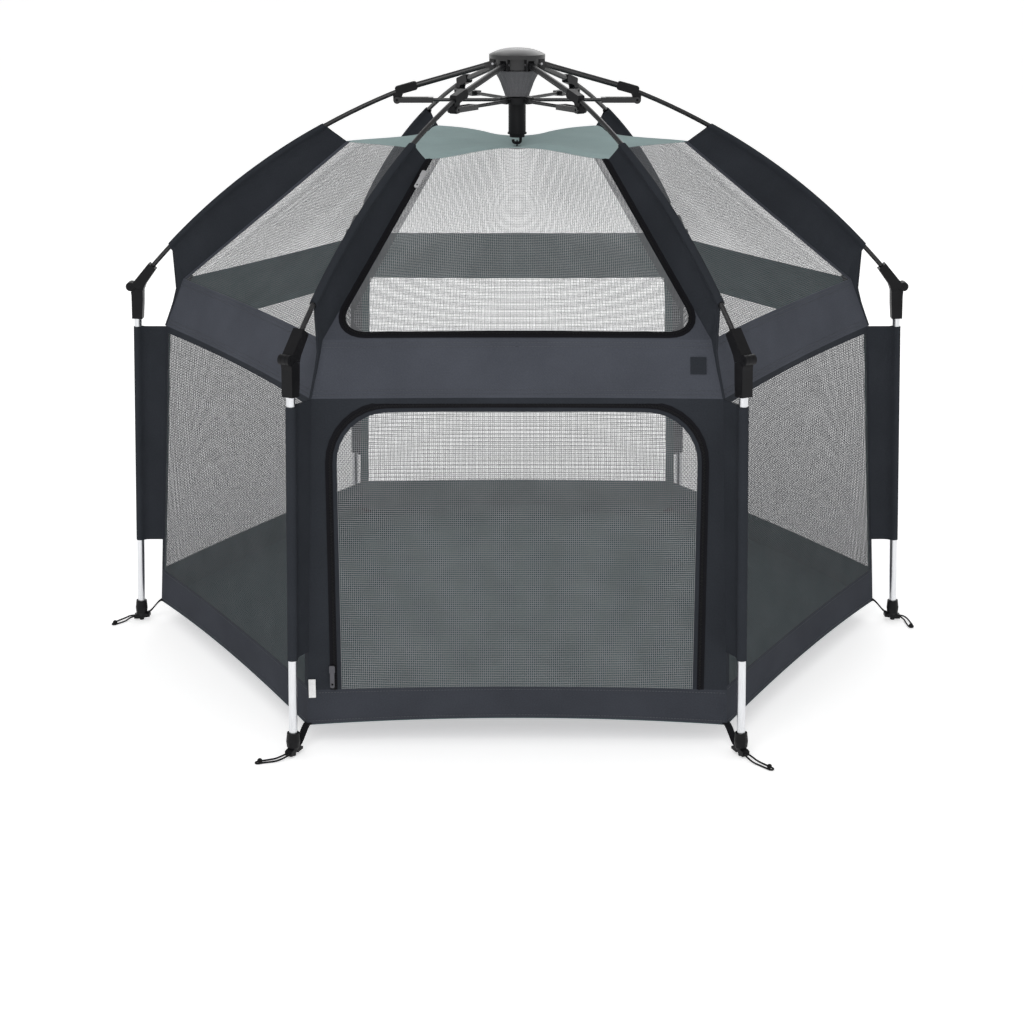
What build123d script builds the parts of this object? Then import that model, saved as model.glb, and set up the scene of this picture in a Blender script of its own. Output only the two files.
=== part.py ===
from build123d import *
import math
import os

# Six-sided pop-up play yard: hub frame with curved ribs, folding legs and a hung fabric body.
#
# Units are millimetres. The origin is on the ground below the hub, +Z is up and the door faces -Y.
# Corner 1 points along +X and the others follow counter-clockwise, 60 degrees apart.
# Most sections are drawn in the vertical plane through one corner as (radius, height) points.

# Frame layout, as (radius, height) in the plane of a corner
CORNERS = 6
STEP = 360 / CORNERS
HUB_PIVOT = (42.0, 1012.0)
ARM_END = (190.0, 971.0)
ROD_END = (650.0, 655.0)
ROD_BEND = 1150.0
ELBOW_PIVOT = (682.3, 628.0)
MITRE_INNER = (660.5, 620.5)
FOOT = (700.0, 0.0)
LEG_TOP = (673.5, 570.6)
STRUT_INNER = (25.0, 951.0)
STRUT_OUTER = (206.0, 951.0)

# Frame sections
ARM_RADIUS = 5.0
ROD_RADIUS = 4.0
LEG_RADIUS = 6.5
LEG_WALL = 1.0
STRUT_RADIUS = 3.0
PIN_CLEARANCE = 0.1
SOCKET_CLEARANCE = 0.15
BORE_CLEARANCE = 0.05
HUB_PIN_RADIUS = 2.0
HUB_PIN_HALF = 9.0
HUB_EYE_RADIUS = 6.0
ARM_NECK = 9.0
ARM_TIP_GAP = 5.0
STRUT_PIN_RADIUS = 1.5
STRUT_PIN_HALF = 7.0
STRUT_EYE_RADIUS = 4.5
ELBOW_PIN_RADIUS = 2.2

# Elbow joint
ELBOW_WIDTH = 19.0
KNUCKLE_WIDTH = 7.4
KNUCKLE_RADIUS = 8.0
SWING_RADIUS = 8.8
MITRE_GAP = 0.4
ROD_INSET = 14.0
MOUTH_BACK = 12.0

# Foot cap as (height up the leg, radius), and the tube that stands in it
FOOT_PROFILE = [(-2, 0), (-2, 4.2), (5, 4.6), (9, 7.0), (15, 10.0), (24, 11.0), (38, 9.6), (38, 0)]
TUBE_START, TUBE_LENGTH = 12.0, 590.0
BOSS_HALF, STRAP_LUG_HALF = 6.5, 7.5

# Bracket and strut fork
BRACKET_WIDTH = 12.0
BRACKET_LENGTH, BRACKET_HEIGHT = 38.0, 15.0
LUG_RADIUS = 6.5
FORK_GAP = 12.8
FORK_LENGTH = 62.0
FORK_WEB = 8.0
TINE = 3.0
TINE_RADIUS, TINE_BORE = 5.5, 2.2

# Hub
CAP_RADIUS = 48.0
RING_RADIUS = 40.0
RING_BORE = 35.0
RING_LOW, RING_HIGH, PLATE_HIGH = 1003.0, 1021.0, 1025.0
LUG_MIDDLE, LUG_REACH, LUG_WIDTH = 41.6, 11.8, 17.0
SLOT_REACH, SLOT_WIDTH, SLOT_ROOF = 24.0, 11.4, 2.4
HUB_TOP = 1038.0
CAP_EDGE = 6.6
CAP_WALL = 2.4
SHAFT_RADIUS = 8.0
SHAFT_LOW = 893.0
SLEEVE_RADIUS = 15.0
SLEEVE_BORE = 8.6
GRIP_RIM = 1.6
RUNNER_RADIUS = 29.0
RUNNER_LOW, RUNNER_HIGH = 945.0, 956.0
BOOT_TOP = (42.0, 1001.5)
BOOT_WAIST = (26.5, 979.0)
BOOT_LOW = (20.0, 957.5)
BOOT_WALL = 1.5

# Fabric body, as (radius of the corner, height)
FLOOR_CORNER = (661.0, 37.0)
WALL_TOP = (625.0, 556.4)
BELT_LOW = (625.0, 556.8)
BELT_TOP = (590.0, 641.0)
ROOF_CORNER = (295.3, 881.0)
SHEET = 1.0
FIN = 3.0
SEAM_GAP = 0.2
WINDOW_GAP = 0.6
SLEEVE_START, SLEEVE_END = 0.275, 0.895
SLEEVE_OFFSET = -5.5
WEB_INNER = (574.0, 644.0)
STRAP_HALF = 7.0
ROOF_HOLE = 20.0
END_SCALLOP, SIDE_SCALLOP = 165.0, 50.0

# Front door, in the plane of the front wall
FRONT = 270.0
DOOR_HALF = 285.0
DOOR_LOW, DOOR_HIGH = 57.0, 508.0
DOOR_CORNER = 88.0
DOOR_GAP = 1.0
SLIDER_GAP = 1.1

# Ground loops, each a doubled cord from its foot, as (outward, sideways, height) from the foot's centre
CORD_RADIUS = 1.5
CORD_ROUTES = {
    1: [
        (13, 3.2, 6.5), (21, 2.6, 5.8), (27, -5, 2.6), (29, -17, 1.6), (30, -31, 1.6), (30.5, -42, 1.6),
        (28.5, -48, 1.6), (23.5, -47.5, 1.6), (21.8, -41, 1.6), (21, -29, 1.6), (20.5, -18, 1.6),
        (19.5, -8.5, 3.4), (13, -3.2, 6.5),
    ],
    2: [
        (13, 3.2, 6.5), (21, 4.2, 5.6), (29, 8.5, 2.2), (38, 15, 1.6), (48, 19, 1.6), (57, 19.5, 1.6),
        (61.5, 15.5, 1.6), (58.8, 11.2, 1.6), (50, 9, 1.6), (40, 5.5, 1.6), (30, 1, 2.0),
        (21, -2.6, 5.4), (13, -3.2, 6.5),
    ],
    3: [
        (13, 3.2, 6.5), (21, 3.6, 5.6), (29, 0.5, 2.2), (38, -6, 1.6), (46, -14, 1.6), (52.5, -22, 1.6),
        (51.5, -28.2, 1.6), (46.5, -29.4, 1.6), (41, -23.5, 1.6), (34, -16.5, 1.6), (27, -10.5, 2.2),
        (20, -5.5, 5.2), (13, -3.2, 6.5),
    ],
    4: [
        (13, -3.2, 6.5), (21, -4.4, 5.8), (30, -1, 2.4), (38, 7.5, 1.6), (44, 17, 1.6), (49, 27, 1.6),
        (48.6, 33.4, 1.6), (43.4, 33.6, 1.6), (38.5, 27.5, 1.6), (31.5, 20, 1.6), (25.5, 13, 2.2),
        (20.5, 6, 5.2), (13, 3.2, 6.5),
    ],
    5: [
        (13, -3.2, 6.5), (20, -5.6, 5.6), (27.5, -12.5, 2.2), (36, -20.5, 1.6), (45, -28, 1.6),
        (52, -33, 1.6), (57, -30.5, 1.6), (56, -25.8, 1.6), (49, -21.5, 1.6), (42, -14, 1.6),
        (34, -6.5, 1.8), (24, 0.6, 4.8), (13, 3.2, 6.5),
    ],
    6: [
        (13, 3.2, 6.5), (22, 4.2, 5.4), (33, 6.6, 2.0), (45, 8.4, 1.6), (57, 10.5, 1.6), (66.5, 12.2, 1.6),
        (71.5, 8.8, 1.6), (69.5, 4.2, 1.6), (60, 2.4, 1.6), (48, 0.2, 1.6), (36, -2.2, 1.6),
        (24, -3.8, 4.6), (13, -3.2, 6.5),
    ],
}


def corner_directions(corner):
    """Unit vectors outward through a corner and along the hexagon at it."""
    angle = math.radians(STEP * (corner - 1))
    outward = Vector(math.cos(angle), math.sin(angle), 0)
    return outward, Vector(-outward.Y, outward.X, 0)


def radial_plane(corner):
    """Vertical plane through a corner: x is the radius, y the height."""
    outward, along = corner_directions(corner)
    return Plane(origin=(0, 0, 0), x_dir=outward, z_dir=-along)


def cross_plane(corner, start, end):
    """Plane at start, square to the line from start to end in a corner's radial plane."""
    plane = radial_plane(corner)
    low, high = plane.from_local_coords(start), plane.from_local_coords(end)
    return Plane(origin=low, x_dir=plane.z_dir, z_dir=high - low)


def along_line(start, direction, distance, offset=0.0):
    """Point at a distance along a direction, and an offset to its left."""
    return (
        start[0] + direction[0] * distance - direction[1] * offset,
        start[1] + direction[1] * distance + direction[0] * offset,
    )


def unit(start, end):
    """Unit direction from one (radius, height) point to another, and the distance."""
    length = math.dist(start, end)
    return ((end[0] - start[0]) / length, (end[1] - start[1]) / length), length


def turned(direction, degrees):
    """A direction turned counter-clockwise in its plane."""
    cos, sin = math.cos(math.radians(degrees)), math.sin(math.radians(degrees))
    return (direction[0] * cos - direction[1] * sin, direction[0] * sin + direction[1] * cos)


ARM_DIRECTION, ARM_LENGTH = unit(HUB_PIVOT, ARM_END)
CHORD, CHORD_LENGTH = unit(ARM_END, ROD_END)
ROD_HALF_BEND = math.degrees(math.asin(CHORD_LENGTH / 2 / ROD_BEND))
ROD_SAGITTA = ROD_BEND * (1 - math.cos(math.radians(ROD_HALF_BEND)))
ROD_OUT = turned(CHORD, -ROD_HALF_BEND)
LEG_DIRECTION, _ = unit(FOOT, LEG_TOP)
ARM_LEAN = math.degrees(math.atan2(ARM_DIRECTION[1], ARM_DIRECTION[0]))


def rod_arc_point(fraction, offset=0.0):
    """Point of the rod's arc at a share of its length, offset away from its centre of curvature."""
    middle = along_line(ARM_END, CHORD, CHORD_LENGTH / 2, ROD_SAGITTA - ROD_BEND)
    swing = math.radians((0.5 - fraction) * 2 * ROD_HALF_BEND)
    radius = ROD_BEND + offset
    return along_line(middle, CHORD, -radius * math.sin(swing), radius * math.cos(swing))


def finish(part, name, label):
    """Label a finished piece and write its STEP file."""
    part.label = label
    export_step(part, f"parts/{name}.step")


# ---------------------------------------------------------------- ribs


def make_rib(corner):
    """Straight arm tube from the hub and the curved rod set in its bracket."""
    plane = radial_plane(corner)
    arm_neck = along_line(HUB_PIVOT, ARM_DIRECTION, ARM_NECK)
    arm_tip = along_line(HUB_PIVOT, ARM_DIRECTION, ARM_LENGTH - ARM_TIP_GAP)
    with BuildPart() as rib:
        with BuildSketch(cross_plane(corner, arm_neck, arm_tip)):
            Circle(ARM_RADIUS)
        extrude(amount=math.dist(arm_neck, arm_tip))
        with BuildSketch(plane):
            with Locations(HUB_PIVOT):
                Circle(HUB_EYE_RADIUS)
            neck_middle = along_line(HUB_PIVOT, ARM_DIRECTION, ARM_NECK - 2.0)
            with Locations(Location((*neck_middle, 0), (0, 0, ARM_LEAN))):
                Rectangle(ARM_NECK + 5.0, 2 * ARM_RADIUS)
        extrude(amount=ARM_RADIUS - 0.2, both=True)
        with BuildSketch(plane):
            with Locations(HUB_PIVOT):
                Circle(HUB_PIN_RADIUS + PIN_CLEARANCE)
        extrude(amount=ARM_RADIUS, both=True, mode=Mode.SUBTRACT)
        with BuildLine(plane):
            ThreePointArc(rod_arc_point(0.005), rod_arc_point(0.5), rod_arc_point(1.0))
            Line(rod_arc_point(1.0), along_line(ROD_END, ROD_OUT, ROD_INSET))
        with BuildSketch(cross_plane(corner, rod_arc_point(0.005), rod_arc_point(0.006))):
            Circle(ROD_RADIUS)
        sweep(transition=Transition.ROUND)
    finish(rib.part, f"rib_{corner}", f"rib_{corner}")


def add_bracket(corner):
    """Block that joins arm and rod, with the lug that the strut's fork straddles."""
    plane = radial_plane(corner)
    with BuildSketch(plane) as block:
        with Locations(Location((*ARM_END, 0), (0, 0, ARM_LEAN))):
            RectangleRounded(BRACKET_LENGTH, BRACKET_HEIGHT, 4.0)
        with Locations(STRUT_OUTER):
            Circle(LUG_RADIUS)
        Polygon((194, 966), (213, 962), (212.2, 949), (200, 951), align=None)
    extrude(block.sketch, amount=BRACKET_WIDTH / 2, both=True)
    arm_tip = along_line(HUB_PIVOT, ARM_DIRECTION, ARM_LENGTH - ARM_TIP_GAP)
    arm_seat = along_line(arm_tip, ARM_DIRECTION, BORE_CLEARANCE)
    with BuildSketch(cross_plane(corner, arm_seat, HUB_PIVOT)) as arm_bore:
        Circle(ARM_RADIUS + BORE_CLEARANCE)
    extrude(arm_bore.sketch, amount=30.0, mode=Mode.SUBTRACT)
    with BuildLine(plane) as rod_line:
        ThreePointArc(rod_arc_point(0.004), rod_arc_point(0.03), rod_arc_point(0.06))
    with BuildSketch(cross_plane(corner, rod_arc_point(0.004), rod_arc_point(0.005))) as rod_bore:
        Circle(ROD_RADIUS + BORE_CLEARANCE)
    sweep(rod_bore.sketch, path=rod_line.line, mode=Mode.SUBTRACT)


def add_upper_elbow(corner):
    """Socket on the rod's end with two ears and the elbow pin."""
    plane = radial_plane(corner)
    mouth = along_line(ROD_END, ROD_OUT, -MOUTH_BACK)
    mitre, _ = unit(ELBOW_PIVOT, MITRE_INNER)
    upper_inner = along_line(MITRE_INNER, mitre, 0.0, -MITRE_GAP / 2)
    upper_outer = along_line(ELBOW_PIVOT, mitre, 0.0, -MITRE_GAP / 2)
    with BuildSketch(plane) as body:
        Polygon(
            along_line(mouth, ROD_OUT, 0.0, 8.0),
            along_line(mouth, ROD_OUT, 50.0, 7.3),
            upper_outer,
            upper_inner,
            along_line(mouth, ROD_OUT, 34.0, -11.0),
            along_line(mouth, ROD_OUT, 0.0, -8.0),
            align=None,
        )
        with Locations(ELBOW_PIVOT):
            Circle(KNUCKLE_RADIUS)
    extrude(body.sketch, amount=ELBOW_WIDTH / 2, both=True)
    with BuildSketch(plane) as slot:
        with Locations(ELBOW_PIVOT):
            Circle(SWING_RADIUS - 0.2)
    extrude(slot.sketch, amount=KNUCKLE_WIDTH / 2 + 0.4, both=True, mode=Mode.SUBTRACT)
    with BuildSketch(plane) as pin:
        with Locations(ELBOW_PIVOT):
            Circle(ELBOW_PIN_RADIUS)
    extrude(pin.sketch, amount=ELBOW_WIDTH / 2 + 1.0, both=True)
    with BuildSketch(cross_plane(corner, mouth, ROD_END)) as bore:
        Circle(ROD_RADIUS + SOCKET_CLEARANCE)
    extrude(bore.sketch, amount=MOUTH_BACK + ROD_INSET + 0.5, mode=Mode.SUBTRACT)


def make_rib_fittings(corner):
    """The rib's two mouldings: strut bracket and upper elbow."""
    with BuildPart() as fittings:
        add_bracket(corner)
        add_upper_elbow(corner)
    finish(fittings.part, f"rib_fittings_{corner}", f"rib_fittings_{corner}")


def make_strut(corner):
    """Strut from the runner to the rib's bracket: eye, rod and a two-tined fork."""
    plane = radial_plane(corner)
    level = STRUT_INNER[1]
    fork_base = STRUT_OUTER[0] - FORK_LENGTH
    with BuildPart() as strut:
        with BuildSketch(plane):
            with Locations(STRUT_INNER):
                Circle(STRUT_EYE_RADIUS)
            with Locations((STRUT_INNER[0] + 6.0, level)):
                Rectangle(12.0, 2 * STRUT_RADIUS)
        extrude(amount=STRUT_RADIUS, both=True)
        with BuildSketch(cross_plane(corner, (STRUT_INNER[0] + 8.0, level), STRUT_OUTER)):
            Circle(STRUT_RADIUS)
        extrude(amount=fork_base - STRUT_INNER[0] - 6.0)
        with BuildSketch(plane):
            with Locations(((fork_base + STRUT_OUTER[0]) / 2, level)):
                Rectangle(STRUT_OUTER[0] - fork_base, 9.0)
            with Locations(STRUT_OUTER):
                Circle(TINE_RADIUS)
        extrude(amount=FORK_GAP / 2 + TINE, both=True)
        with BuildSketch(plane):
            with Locations((fork_base + FORK_WEB + FORK_LENGTH / 2, level)):
                Rectangle(FORK_LENGTH, 14.0)
        extrude(amount=FORK_GAP / 2, both=True, mode=Mode.SUBTRACT)
        with BuildSketch(plane):
            with Locations(STRUT_OUTER):
                Circle(TINE_BORE)
        extrude(amount=FORK_GAP, both=True, mode=Mode.SUBTRACT)
        with BuildSketch(plane):
            with Locations(STRUT_INNER):
                Circle(STRUT_PIN_RADIUS + PIN_CLEARANCE)
        extrude(amount=FORK_GAP, both=True, mode=Mode.SUBTRACT)
    finish(strut.part, f"strut_{corner}", f"strut_{corner}")


# ---------------------------------------------------------------- legs


def leg_point(height, offset=0.0):
    """Point of the leg's axis at a distance up from its foot, offset outward."""
    return along_line(FOOT, LEG_DIRECTION, height, -offset)


def make_leg_tube(corner):
    """Round aluminium leg tube between the elbow socket and the foot cap."""
    with BuildPart() as tube:
        with BuildSketch(cross_plane(corner, leg_point(TUBE_START), LEG_TOP)):
            Circle(LEG_RADIUS)
            Circle(LEG_RADIUS - LEG_WALL, mode=Mode.SUBTRACT)
        extrude(amount=TUBE_LENGTH)
    finish(tube.part, f"leg_tube_{corner}", f"leg_tube_{corner}")


def add_lower_elbow(corner):
    """Socket on the leg's top with the knuckle that turns on the elbow pin."""
    plane = radial_plane(corner)
    mitre, _ = unit(ELBOW_PIVOT, MITRE_INNER)
    lower_inner = along_line(MITRE_INNER, mitre, 0.0, MITRE_GAP / 2)
    lower_outer = along_line(ELBOW_PIVOT, mitre, 0.0, MITRE_GAP / 2)
    outline = (lower_outer, lower_inner, leg_point(596.0, -10.3), leg_point(571.0, -9.0),
               leg_point(571.0, 9.0), leg_point(612.0, 9.6))
    with BuildSketch(plane) as body:
        Polygon(*outline, align=None)
    extrude(body.sketch, amount=ELBOW_WIDTH / 2, both=True)
    with BuildSketch(plane) as swing:
        with Locations(ELBOW_PIVOT):
            Circle(SWING_RADIUS)
    extrude(swing.sketch, amount=ELBOW_WIDTH, both=True, mode=Mode.SUBTRACT)
    with BuildSketch(plane) as knuckle:
        Polygon(*outline, align=None)
        with Locations(ELBOW_PIVOT):
            Circle(KNUCKLE_RADIUS)
    extrude(knuckle.sketch, amount=KNUCKLE_WIDTH / 2, both=True)
    with BuildSketch(plane) as pin_hole:
        with Locations(ELBOW_PIVOT):
            Circle(ELBOW_PIN_RADIUS + PIN_CLEARANCE)
    extrude(pin_hole.sketch, amount=ELBOW_WIDTH, both=True, mode=Mode.SUBTRACT)
    with BuildSketch(cross_plane(corner, leg_point(560.0), leg_point(700.0))) as tube_bore:
        Circle(LEG_RADIUS)
    extrude(tube_bore.sketch, amount=42.0, mode=Mode.SUBTRACT)


def add_foot(corner):
    """Rubber foot: a peg that stands on the ground, a bulb round the tube, strap lug and cord boss."""
    plane = radial_plane(corner)
    base = plane.from_local_coords(leg_point(0.0))
    tip = plane.from_local_coords(leg_point(100.0))
    with BuildSketch(plane) as turned_profile:
        Polygon(*[leg_point(height, radius) for height, radius in FOOT_PROFILE], align=None)
    revolve(turned_profile.sketch, axis=Axis(base, tip - base))
    with BuildSketch(plane) as boss:
        Polygon((704, 3), (713, 3), (713, 10), (708, 12), (702, 12), (700, 6), align=None)
    extrude(boss.sketch, amount=BOSS_HALF, both=True)
    with BuildSketch(plane) as lug:
        Polygon((684, 7), (697, 5), (700, 12), (692, 14), (684, 11), align=None)
    extrude(lug.sketch, amount=STRAP_LUG_HALF, both=True)
    with BuildSketch(cross_plane(corner, leg_point(TUBE_START), LEG_TOP)) as tube_bore:
        Circle(LEG_RADIUS)
    extrude(tube_bore.sketch, amount=40.0, mode=Mode.SUBTRACT)
    with Locations((*foot_centre(corner), -10.0)):
        Box(60, 60, 20, mode=Mode.SUBTRACT)


def foot_centre(corner):
    """Ground point below a foot."""
    outward, _ = corner_directions(corner)
    return outward.X * FOOT[0], outward.Y * FOOT[0]


def make_leg_fittings(corner):
    """The leg's two mouldings: lower elbow and foot."""
    with BuildPart() as fittings:
        add_lower_elbow(corner)
        add_foot(corner)
    finish(fittings.part, f"leg_fittings_{corner}", f"leg_fittings_{corner}")


def cord_radii(points):
    """Arc radius for each corner of a cord's route."""
    radii = []
    for before, at, after in zip(points, points[1:], points[2:]):
        turn = (at - before).get_angle(after - at)
        shorter = min((at - before).length, (after - at).length)
        radii.append(0.45 * shorter / math.tan(math.radians(turn / 2)))
    return radii


def make_ground_loop(corner):
    """Doubled ground cord that lies out from the foot, both ends in the foot's boss."""
    outward, along = corner_directions(corner)
    points = [
        outward * (FOOT[0] + out) + along * side + Vector(0, 0, height)
        for out, side, height in CORD_ROUTES[corner]
    ]
    radii = cord_radii(points)
    with BuildPart() as cord:
        with BuildLine() as route:
            FilletPolyline(*points, radius=radii)
        path = route.wire()
        with BuildSketch(Plane(origin=path @ 0, z_dir=path % 0)):
            Circle(CORD_RADIUS)
        sweep()
    expected = math.pi * CORD_RADIUS**2 * path.length
    print(f"ground_loop_{corner}: length {path.length:.1f}, radii {[round(r, 1) for r in radii]},"
          f" volume over section times length {cord.part.volume / expected:.4f}")
    finish(cord.part, f"ground_loop_{corner}", f"ground_loop_{corner}")


# ---------------------------------------------------------------- hub and runner


def make_hub_ring():
    """Hub body: a ring with six slotted lugs that carry the arms."""
    with BuildPart() as ring:
        with BuildSketch(Plane.XY.offset(RING_LOW)):
            Circle(RING_RADIUS)
            with PolarLocations(LUG_MIDDLE, CORNERS):
                Rectangle(LUG_REACH, LUG_WIDTH)
            Circle(RING_BORE, mode=Mode.SUBTRACT)
        extrude(amount=RING_HIGH - RING_LOW)
        with BuildSketch(Plane.XY.offset(RING_LOW)):
            with PolarLocations(LUG_MIDDLE, CORNERS):
                Rectangle(SLOT_REACH, SLOT_WIDTH)
        extrude(amount=RING_HIGH - RING_LOW - SLOT_ROOF, mode=Mode.SUBTRACT)
        for corner in range(1, CORNERS + 1):
            with BuildSketch(radial_plane(corner)):
                with Locations(HUB_PIVOT):
                    Circle(HUB_PIN_RADIUS)
            extrude(amount=HUB_PIN_HALF, both=True, mode=Mode.SUBTRACT)
    finish(ring.part, "hub_ring", "hub_ring")


def make_pins(name, pivot, radius, half_length):
    """The six pins of one pivot circle."""
    with BuildPart() as pins:
        for corner in range(1, CORNERS + 1):
            with BuildSketch(radial_plane(corner)):
                with Locations(pivot):
                    Circle(radius)
            extrude(amount=half_length, both=True)
    finish(pins.part, name, name)


def make_hub_cap():
    """Domed cap with the plate that closes the hub and seats the shaft."""
    rim = (CAP_RADIUS, RING_HIGH + CAP_EDGE)
    inner_rim = (CAP_RADIUS - CAP_WALL, RING_HIGH + CAP_EDGE - CAP_WALL)
    flat, shoulder = 6.0, (31.0, HUB_TOP - 3.3)
    with BuildPart() as cap:
        with BuildSketch(Plane.XZ):
            with BuildLine():
                Polyline((SHAFT_RADIUS, RING_HIGH), (CAP_RADIUS, RING_HIGH), rim)
                ThreePointArc(rim, shoulder, (flat, HUB_TOP))
                Polyline((flat, HUB_TOP), (0, HUB_TOP), (0, HUB_TOP - CAP_WALL), (flat, HUB_TOP - CAP_WALL))
                ThreePointArc((flat, HUB_TOP - CAP_WALL), (shoulder[0], shoulder[1] - CAP_WALL), inner_rim)
                Polyline(inner_rim, (inner_rim[0], PLATE_HIGH), (SHAFT_RADIUS, PLATE_HIGH),
                         (SHAFT_RADIUS, RING_HIGH))
            make_face()
        revolve(axis=Axis.Z)
    finish(cap.part, "hub_cap", "hub_cap")


def make_centre_shaft():
    """Tube fixed in the hub; the runner and its grip slide on it."""
    with BuildPart() as shaft:
        with BuildSketch(Plane.XY.offset(SHAFT_LOW)):
            Circle(SHAFT_RADIUS)
            Circle(SHAFT_RADIUS - 2.0, mode=Mode.SUBTRACT)
        extrude(amount=PLATE_HIGH - SHAFT_LOW - 2.0)
    finish(shaft.part, "centre_shaft", "centre_shaft")


def make_shaft_hook():
    """Stop disc and hook at the shaft's foot, which hold the runner and the roof's centre."""
    with BuildPart() as hook:
        with BuildSketch(Plane.XY.offset(SHAFT_LOW - 5.0)):
            Circle(13.0)
        extrude(amount=4.8)
        with BuildSketch(Plane.XY.offset(SHAFT_LOW - 0.4)):
            Circle(SHAFT_RADIUS - 2.1)
        extrude(amount=9.0)
        with BuildLine(Plane.XZ):
            FilletPolyline((6, SHAFT_LOW - 4), (6, SHAFT_LOW - 15), (-7, SHAFT_LOW - 15),
                           (-7, SHAFT_LOW - 9), radius=4.0)
        with BuildSketch(Plane(origin=(6, 0, SHAFT_LOW - 4), z_dir=(0, 0, -1))):
            Circle(2.5)
        sweep()
    finish(hook.part, "shaft_hook", "shaft_hook")


def make_runner():
    """Sliding flange with six slots for the struts' eyes."""
    with BuildPart() as runner:
        with BuildSketch(Plane.XY.offset(RUNNER_LOW)):
            Circle(RUNNER_RADIUS)
            Circle(SLEEVE_BORE, mode=Mode.SUBTRACT)
            with PolarLocations(19.8 + 10.0, CORNERS):
                Rectangle(20.0, 6.8, mode=Mode.SUBTRACT)
        extrude(amount=RUNNER_HIGH - RUNNER_LOW)
        for corner in range(1, CORNERS + 1):
            with BuildSketch(radial_plane(corner)):
                with Locations(STRUT_INNER):
                    Circle(STRUT_PIN_RADIUS)
            extrude(amount=STRUT_PIN_HALF, both=True, mode=Mode.SUBTRACT)
    finish(runner.part, "runner", "runner")


def make_grip():
    """Pull grip under the runner: a plain column with a rolled lower rim."""
    height = RUNNER_LOW - SHAFT_LOW
    with BuildPart() as grip:
        with BuildSketch(Plane.XY.offset(SHAFT_LOW)):
            Circle(SLEEVE_RADIUS)
            Circle(SLEEVE_BORE, mode=Mode.SUBTRACT)
        extrude(amount=height)
        with BuildSketch(Plane.XY.offset(SHAFT_LOW)):
            Circle(SLEEVE_RADIUS + GRIP_RIM)
            Circle(SLEEVE_BORE, mode=Mode.SUBTRACT)
        extrude(amount=GRIP_RIM * 2)
        chamfer(grip.edges().group_by(Axis.Z)[0].sort_by(SortBy.RADIUS)[-1], GRIP_RIM / 2)
    finish(grip.part, "grip", "grip")


def make_boot():
    """Soft cone that covers the runner from the hub down."""
    with BuildPart() as boot:
        with BuildSketch(Plane.XZ):
            with BuildLine():
                ThreePointArc(BOOT_TOP, BOOT_WAIST, BOOT_LOW)
                Line(BOOT_LOW, (BOOT_LOW[0] - BOOT_WALL, BOOT_LOW[1]))
                ThreePointArc((BOOT_LOW[0] - BOOT_WALL, BOOT_LOW[1]),
                              (BOOT_WAIST[0] - BOOT_WALL, BOOT_WAIST[1]),
                              (BOOT_TOP[0] - BOOT_WALL - 1.0, BOOT_TOP[1]))
                Line((BOOT_TOP[0] - BOOT_WALL - 1.0, BOOT_TOP[1]), BOOT_TOP)
            make_face()
        revolve(axis=Axis.Z)
    finish(boot.part, "boot", "boot")


# ---------------------------------------------------------------- fabric body


def face_plane(face, low, high):
    """Plane of a side between two corners: x along the side, y up its slope, and the slope's length."""
    angle = math.radians(face)
    outward = Vector(math.cos(angle), math.sin(angle), 0)
    apothem = math.cos(math.radians(STEP / 2))
    base = outward * (low[0] * apothem) + Vector(0, 0, low[1])
    top = outward * (high[0] * apothem) + Vector(0, 0, high[1])
    along = Vector(-outward.Y, outward.X, 0)
    return Plane(origin=base, x_dir=along, z_dir=along.cross(top - base)), (top - base).length


def add_half_panels(corner, low, high):
    """The halves of the two panels that meet at a corner."""
    for side in (-1, 1):
        plane, slope = face_plane(STEP * (corner - 1) - side * STEP / 2, low, high)
        with BuildSketch(plane) as panel:
            Polygon((side * SEAM_GAP, 0), (side * low[0] / 2, 0), (side * high[0] / 2, slope),
                    (side * SEAM_GAP, slope), align=None)
        extrude(panel.sketch, amount=-SHEET)


def add_triangle(first, second, third):
    """Flat triangle of cloth between three points in space."""
    plane = Plane(origin=first, x_dir=second - first, z_dir=(second - first).cross(third - first))
    with BuildSketch(plane) as cloth:
        Polygon(*[tuple(plane.to_local_coords(point))[:2] for point in (first, second, third)], align=None)
    extrude(cloth.sketch, amount=SHEET / 2, both=True)


def roof_edge(angle):
    """Distance of the roof's edge from the middle, where its side that faces an angle is drawn in most."""
    scallop = END_SCALLOP if angle % 180 == 90 else SIDE_SCALLOP
    return ROOF_CORNER[0] * math.cos(math.radians(STEP / 2)) - scallop


def add_half_windows(corner):
    """The halves of the two windows that meet at a corner, drawn in towards the roof's scalloped edge."""
    apothem = math.cos(math.radians(STEP / 2))
    outward, _ = corner_directions(corner)
    for side in (-1, 1):
        angle = STEP * (corner - 1) + side * STEP / 2
        facing = Vector(math.cos(math.radians(angle)), math.sin(math.radians(angle)), 0)
        aside = Vector(facing.Y, -facing.X, 0) * side * WINDOW_GAP
        belt_corner, roof_corner = (
            outward * radius + Vector(0, 0, height) - aside for radius, height in (BELT_TOP, ROOF_CORNER)
        )
        belt_middle = facing * (BELT_TOP[0] * apothem) + Vector(0, 0, BELT_TOP[1]) + aside
        roof_middle = facing * roof_edge(angle) + Vector(0, 0, ROOF_CORNER[1]) + aside
        add_triangle(belt_corner, belt_middle, roof_corner)
        add_triangle(belt_middle, roof_middle, roof_corner)


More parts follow.
